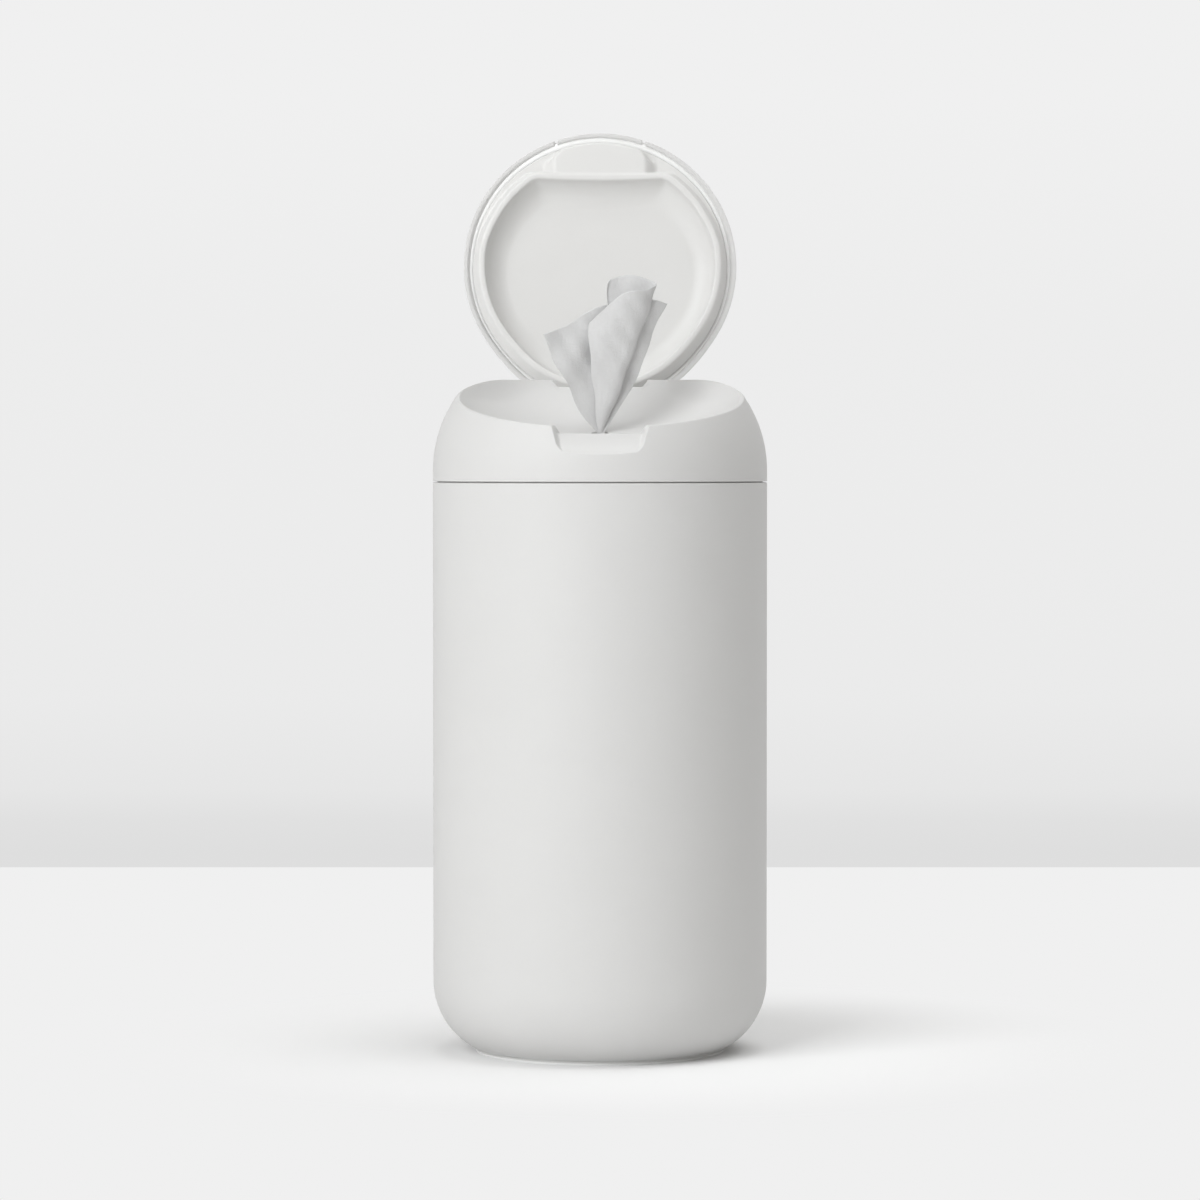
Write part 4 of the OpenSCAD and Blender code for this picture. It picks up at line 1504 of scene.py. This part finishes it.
@dataclass
class Wipe:
    """The pulled-up wipe: a wide back sheet and a curl that stands in front of it."""

    thickness: float = 0.3
    low: float = 4.4
    low_rows: int = 8
    columns: int = 120
    rows: int = 90
    shares: tuple[float, ...] = (0.0, 0.12, 0.25, 0.5, 0.75, 1.0)
    even_rounds: int = 3
    even_reach: int = 4
    lean: float = 0.8
    back_phase: float = 0.6
    curl_phase: float = 2.4
    waves: tuple[Wave, ...] = (Wave(0.55, 0.23, 0.30, 1.0), Wave(0.45, 0.36, -0.21, 2.1),
                               Wave(0.22, 0.8, 0.5, 3.0))
    wave_start_h: float = 22.0
    sway: float = 0.3
    sway_rate: float = 0.42

    # The twisted strand below the hole: its radii at distances from its top
    strand_top_z: float = 217.0
    strand_low_z: float = 151.0
    strand_rows: int = 90
    strand_columns: int = 72
    strand_drops: tuple[float, ...] = (0.0, 3.0, 14.0, 54.0, 66.0)
    strand_radii: tuple[float, ...] = (1.9, 2.0, 3.8, 3.8, 1.4)
    strand_twist: float = 0.09
    flutes: int = 6
    flute_depth: float = 0.1
    flute_start_h: float = 10.0
    pole_merge: float = 0.002

    def back_folds(self) -> list[Fold]:
        """Folds of the back sheet, from its left corner to its right."""
        return [Fold(35.4, -1.5, (-0.8, -5.0, -8.0, -11.6, -17.0, -20.4)),
                Fold(39.0, 0.5, (-0.6, -3.3, -5.4, -7.5, -9.8, -11.0)),
                Fold(44.1, 2.4, (-0.4, -1.6, -2.8, -3.9, -4.0, -3.6)),
                Fold(46.4, 3.6, (0.0, 0.2, 0.8, 1.6, 2.3, 3.1)),
                Fold(47.5, 3.4, (0.4, 1.4, 3.0, 5.2, 8.0, 11.0)),
                Fold(48.0, 2.4, (0.8, 2.5, 5.4, 8.8, 13.8, 18.2)),
                Fold(46.5, 3.8, (1.5, 4.7, 8.9, 15.0, 18.3, 23.9))]

    def curl_folds(self) -> list[Fold]:
        """Folds of the curl, from its free front edge round to its free back edge."""
        return [Fold(39.3, -1.2, (-0.5, -1.3, -1.6, -2.6, -3.8, -4.0)),
                Fold(44.9, -3.6, (-0.2, 0.0, 0.2, 0.5, 1.2, 1.9)),
                Fold(50.3, -5.2, (0.1, 1.1, 2.5, 4.6, 7.4, 9.7)),
                Fold(51.3, -4.4, (0.3, 2.2, 4.8, 8.2, 12.8, 16.8)),
                Fold(53.2, -0.6, (0.6, 3.3, 6.7, 10.9, 16.1, 20.4)),
                Fold(54.9, 2.6, (0.5, 2.4, 5.0, 8.8, 13.8, 17.8)),
                Fold(56.9, 4.4, (0.4, 1.4, 3.0, 5.2, 8.0, 10.6)),
                Fold(55.6, 4.0, (0.2, 0.7, 1.6, 2.8, 3.6, 4.2)),
                Fold(53.7, 3.2, (0.1, 0.5, 1.2, 2.2, 2.7, 2.7))]

    def rails(self, folds: Sequence[Fold], t: np.ndarray) -> np.ndarray:
        """Places of the folds as they rise.

        Args:
            folds: The sheet's folds, from one edge to the other.
            t: Shares of the height, from 0 to 1.

        Returns:
            Side, depth and height by fold and share.
        """
        window = 2 * self.even_reach + 1
        made = []
        for fold in folds:
            side = np.interp(t, np.array(self.shares), fold.side)
            for _ in range(self.even_rounds):
                side = np.convolve(np.pad(side, self.even_reach, mode="reflect", reflect_type="odd"),
                                   np.ones(window) / window, mode="valid")
            made.append(np.stack([side, fold.depth * t**self.lean, fold.height * t], axis=1))
        return np.array(made)

    def surface(self, folds: Sequence[Fold], phase: float) -> np.ndarray:
        """Middle surface of a sheet: a smooth curve through its folds at each height, with waves.

        Args:
            folds: The sheet's folds, from one edge to the other.
            phase: Offset of its waves.

        Returns:
            Places by row and column, in millimetres.
        """
        t = np.linspace(0, 1, self.rows + 1)
        table = self.rails(folds, t)
        ends = np.concatenate([[2 * table[0] - table[1]], table, [2 * table[-1] - table[-2]]])
        u = np.linspace(0, len(folds) - 1, self.columns + 1)
        k = np.clip(u.astype(int), 0, len(folds) - 2)
        f = (u - k)[:, None, None]
        p0, p1, p2, p3 = ends[k], ends[k + 1], ends[k + 2], ends[k + 3]
        path = 0.5 * (2 * p1 + (p2 - p0) * f + (2 * p0 - 5 * p1 + 4 * p2 - p3) * f**2
                      + (3 * p1 - p0 - 3 * p2 + p3) * f**3)
        x, y, z = path[:, :, 0].T, path[:, :, 1].T, path[:, :, 2].T
        swell = np.clip(z / self.wave_start_h, 0, 1)
        y = y + swell * sum(wave.height * np.sin(wave.across * x + wave.up * z + wave.offset * phase)
                            for wave in self.waves)
        x = x + swell * self.sway * np.sin(self.sway_rate * z + phase)
        below = np.linspace(-self.low, 0, self.low_rows)[:-1]
        points = np.stack([x, y, z], axis=2)
        sunk = np.repeat(points[:1], len(below), axis=0)
        sunk[:, :, 2] = below[:, None]
        points = np.concatenate([sunk, points])
        points[:, :, 2] += OUTLINE.bowl_z
        return points

    def cloth(self) -> bpy.types.Object:
        """Both sheets as one thin cloth.

        Returns:
            The new piece.
        """
        mesh = bmesh.new()
        for folds, phase in ((self.back_folds(), self.back_phase), (self.curl_folds(), self.curl_phase)):
            points = self.surface(folds, phase)
            rows = len(points) - 1
            made = bmesh.ops.create_grid(mesh, x_segments=self.columns, y_segments=rows, size=1)
            for vert in made["verts"]:
                column = round((vert.co.x + 1) / 2 * self.columns)
                row = round((vert.co.y + 1) / 2 * rows)
                vert.co = points[row, column]
        piece = finish_mesh(mesh, "pulled_wipe")
        thick = piece.modifiers.new("thickness", "SOLIDIFY")
        thick.thickness = self.thickness * MM
        thick.offset = 0
        apply_modifiers(piece)
        return piece

    def strand(self) -> bpy.types.Object:
        """The twisted strand below the hole.

        Returns:
            The new piece.
        """
        heights = np.linspace(self.strand_top_z, self.strand_low_z, self.strand_rows)[:, None]
        angles = np.linspace(0, math.tau, self.strand_columns, endpoint=False)
        drop = self.strand_top_z - heights
        radius = np.interp(drop, self.strand_drops, self.strand_radii)
        turn = self.flutes * angles + self.strand_twist * drop * self.flutes
        r = radius * (1 + self.flute_depth * np.cos(turn) * np.clip(drop / self.flute_start_h, 0, 1))
        r[0] = 0
        r[-1] = 0
        return shaped("twisted_strand", around(r, heights, angles), False, merge=self.pole_merge)

    def build(self) -> None:
        """Builds and dresses the cloth and the strand."""
        piece = dress(self.cloth(), CLOTH, "top", ["wipe"])
        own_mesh(piece)
        dress(self.strand(), CLOTH, "top", ["next_wipe"])


# Studio


@dataclass(frozen=True)
class Lamp:
    """A square lamp: its place and width in metres, and its power in watts."""

    name: str
    place: tuple[float, float, float]
    size: float
    power: float


@dataclass
class Studio:
    """The photograph's view, backdrop and light, in metres."""

    distance: float = 1.635
    eye_z: float = 0.2128
    pitch: float = 1.78
    focal_px: float = 4550.0
    sensor: float = 36.0
    clip: tuple[float, float] = (0.05, 20.0)
    wall_y: float = 0.73
    wall_h: float = 3.0
    stage_half_w: float = 6.0
    # Painted shade on the backdrop: the height over which it fades out, and its tones by share of that
    # height, darkest where the wall meets the counter
    painted_shade_h: float = 0.4
    wall_painted_shade_stops: tuple[tuple[float, float], ...] = (
        (0.0, 0.733), (0.02, 0.733), (0.062, 0.75), (0.10, 0.79), (0.22, 0.828), (0.40, 0.838),
        (0.70, 0.846), (1.0, 0.871))
    floor_colour: tuple[float, float, float] = (0.93, 0.93, 0.93)
    floor_level: float = 0.871
    shade_x: float = 0.015
    shade_y: float = 0.015
    shade_near: float = 0.07
    shade_far: float = 0.19
    lamps: tuple[Lamp, ...] = (Lamp("key", (-1.35, -1.75, 1.2), 1.6, 42.0),
                               Lamp("top", (0.5, 0.0, 2.2), 1.8, 22.0))
    lamp_target: tuple[float, float, float] = (0.0, 0.0, 0.16)
    lamp_tint: tuple[float, float, float] = (0.975, 0.99, 1.0)
    surround_tint: tuple[float, float, float] = (1.0, 0.982, 0.95)
    surround_level: float = 0.365

    def camera(self) -> None:
        """Places the camera at the photograph's viewpoint."""
        data = bpy.data.cameras.new("camera")
        data.sensor_width = self.sensor
        data.lens = self.focal_px / IMAGE_SIDE * data.sensor_width
        data.clip_start, data.clip_end = self.clip
        camera = bpy.data.objects.new("camera", data)
        camera.location = (0, -self.distance, self.eye_z)
        camera.rotation_euler = (math.radians(90 - self.pitch), 0, 0)
        bpy.context.scene.collection.objects.link(camera)
        bpy.context.scene.camera = camera

    def plane(self, name: str, corners: Sequence[tuple[float, float, float]]) -> bpy.types.Object:
        """A flat stage piece through four corners.

        Args:
            name: Name of the piece.
            corners: Its corners in order, in metres.

        Returns:
            The new piece.
        """
        mesh = bmesh.new()
        mesh.faces.new([mesh.verts.new(c) for c in corners])
        data = bpy.data.meshes.new(name)
        mesh.to_mesh(data)
        mesh.free()
        piece = bpy.data.objects.new(name, data)
        bpy.context.scene.collection.objects.link(piece)
        return piece

    def shown_only(self, tree: bpy.types.NodeTree) -> Value:
        """1 for what the camera, gloss and glass see, 0 for other light.

        Args:
            tree: The node tree.

        Returns:
            The value, 0 or 1.
        """
        path = add_node(tree, "ShaderNodeLightPath", {}, {})
        seen = path["Is Camera Ray"] + path["Is Glossy Ray"]
        total = seen + path["Is Transmission Ray"]
        return add_node(tree, "ShaderNodeMath", {"operation": "MINIMUM"}, {0: total, 1: 1.0})["Value"]

    def backdrop(self) -> None:
        """The pale wall behind the counter, with painted shade that darkens it towards the counter."""
        side, y, top = self.stage_half_w, self.wall_y, self.wall_h
        wall = self.plane("backdrop", [(-side, y, 0), (side, y, 0), (side, y, top), (-side, y, top)])
        made = empty_material("backdrop")
        tree = made.node_tree
        place = add_node(tree, "ShaderNodeTexCoord", {}, {})["Object"]
        height = add_node(tree, "ShaderNodeSeparateXYZ", {}, {"Vector": place})["Z"]
        level = add_node(tree, "ShaderNodeMapRange", {}, {
            "Value": height, "From Min": 0.0, "From Max": self.painted_shade_h, "To Min": 0.0,
            "To Max": 1.0})["Result"]
        # Painted shade: the ramp darkens the wall towards the counter
        colour = add_node(tree, "ShaderNodeValToRGB", {
            "stops": [(at, (v, v, v)) for at, v in self.wall_painted_shade_stops]}, {"Fac": level})["Color"]
        glow = add_node(tree, "ShaderNodeEmission", {}, {"Color": colour, "Strength": 1.0})["Emission"]
        clear = add_node(tree, "ShaderNodeBsdfTransparent", {}, {})["BSDF"]
        mix = add_node(tree, "ShaderNodeMixShader", {}, {0: self.shown_only(tree), 1: clear, 2: glow})
        add_node(tree, "ShaderNodeOutputMaterial", {}, {"Surface": mix["Shader"]})
        wall.data.materials.append(made)

    def counter(self) -> None:
        """The pale counter that takes the object's shadow."""
        side, y = self.stage_half_w, self.wall_y
        floor = self.plane("counter", [(-side, -side, 0), (side, -side, 0), (side, y, 0), (-side, y, 0)])
        made = empty_material("counter")
        tree = made.node_tree
        surface = add_node(tree, "ShaderNodeBsdfDiffuse", {}, {"Color": (*self.floor_colour, 1.0)})
        place = add_node(tree, "ShaderNodeTexCoord", {}, {})["Object"]
        away = add_node(tree, "ShaderNodeVectorMath", {"operation": "DISTANCE"}, {
            0: place, 1: (self.shade_x, self.shade_y, 0.0)})["Value"]
        far = add_node(tree, "ShaderNodeMapRange", {"interpolation_type": "SMOOTHSTEP"}, {
            "Value": away, "From Min": self.shade_near, "From Max": self.shade_far,
            "To Min": 0.0, "To Max": 1.0})["Result"]
        level = (self.floor_level,) * 3
        glow = add_node(tree, "ShaderNodeEmission", {}, {"Color": (*level, 1.0), "Strength": 1.0})
        mix = add_node(tree, "ShaderNodeMixShader", {}, {
            0: far * self.shown_only(tree), 1: surface["BSDF"], 2: glow["Emission"]})
        add_node(tree, "ShaderNodeOutputMaterial", {}, {"Surface": mix["Shader"]})
        floor.data.materials.append(made)

    def lamp(self, lamp: Lamp) -> None:
        """Places a lamp so that it faces the dispenser.

        Args:
            lamp: The lamp's sizes.
        """
        data = bpy.data.lights.new(lamp.name, "AREA")
        data.shape = "SQUARE"
        data.size = lamp.size
        data.energy = lamp.power
        data.color = self.lamp_tint
        placed = bpy.data.objects.new(lamp.name, data)
        placed.location = lamp.place
        ray = Vector(self.lamp_target) - Vector(lamp.place)
        placed.rotation_euler = ray.to_track_quat("-Z", "Y").to_euler()
        bpy.context.scene.collection.objects.link(placed)

    def light(self) -> None:
        """A broad key from the upper left front, a soft top light and a warm even surround."""
        for lamp in self.lamps:
            self.lamp(lamp)
        world = bpy.data.worlds.new("surround")
        bpy.context.scene.world = world
        world.use_nodes = True
        background = world.node_tree.nodes["Background"]
        background.inputs["Color"].default_value = (*self.surround_tint, 1.0)
        background.inputs["Strength"].default_value = self.surround_level

    def build(self) -> None:
        """Builds the whole studio."""
        scene = bpy.context.scene
        scene.view_settings.view_transform = "Standard"
        self.camera()
        self.backdrop()
        self.counter()
        self.light()


def main() -> None:
    """Builds the dispenser and its studio."""
    logging.basicConfig(level=logging.INFO, format="%(name)s: %(message)s")
    Studio().build()
    Canister().build()
    Top().build()
    Lid().build()
    Wipe().build()


if __name__ == "__main__":
    main()
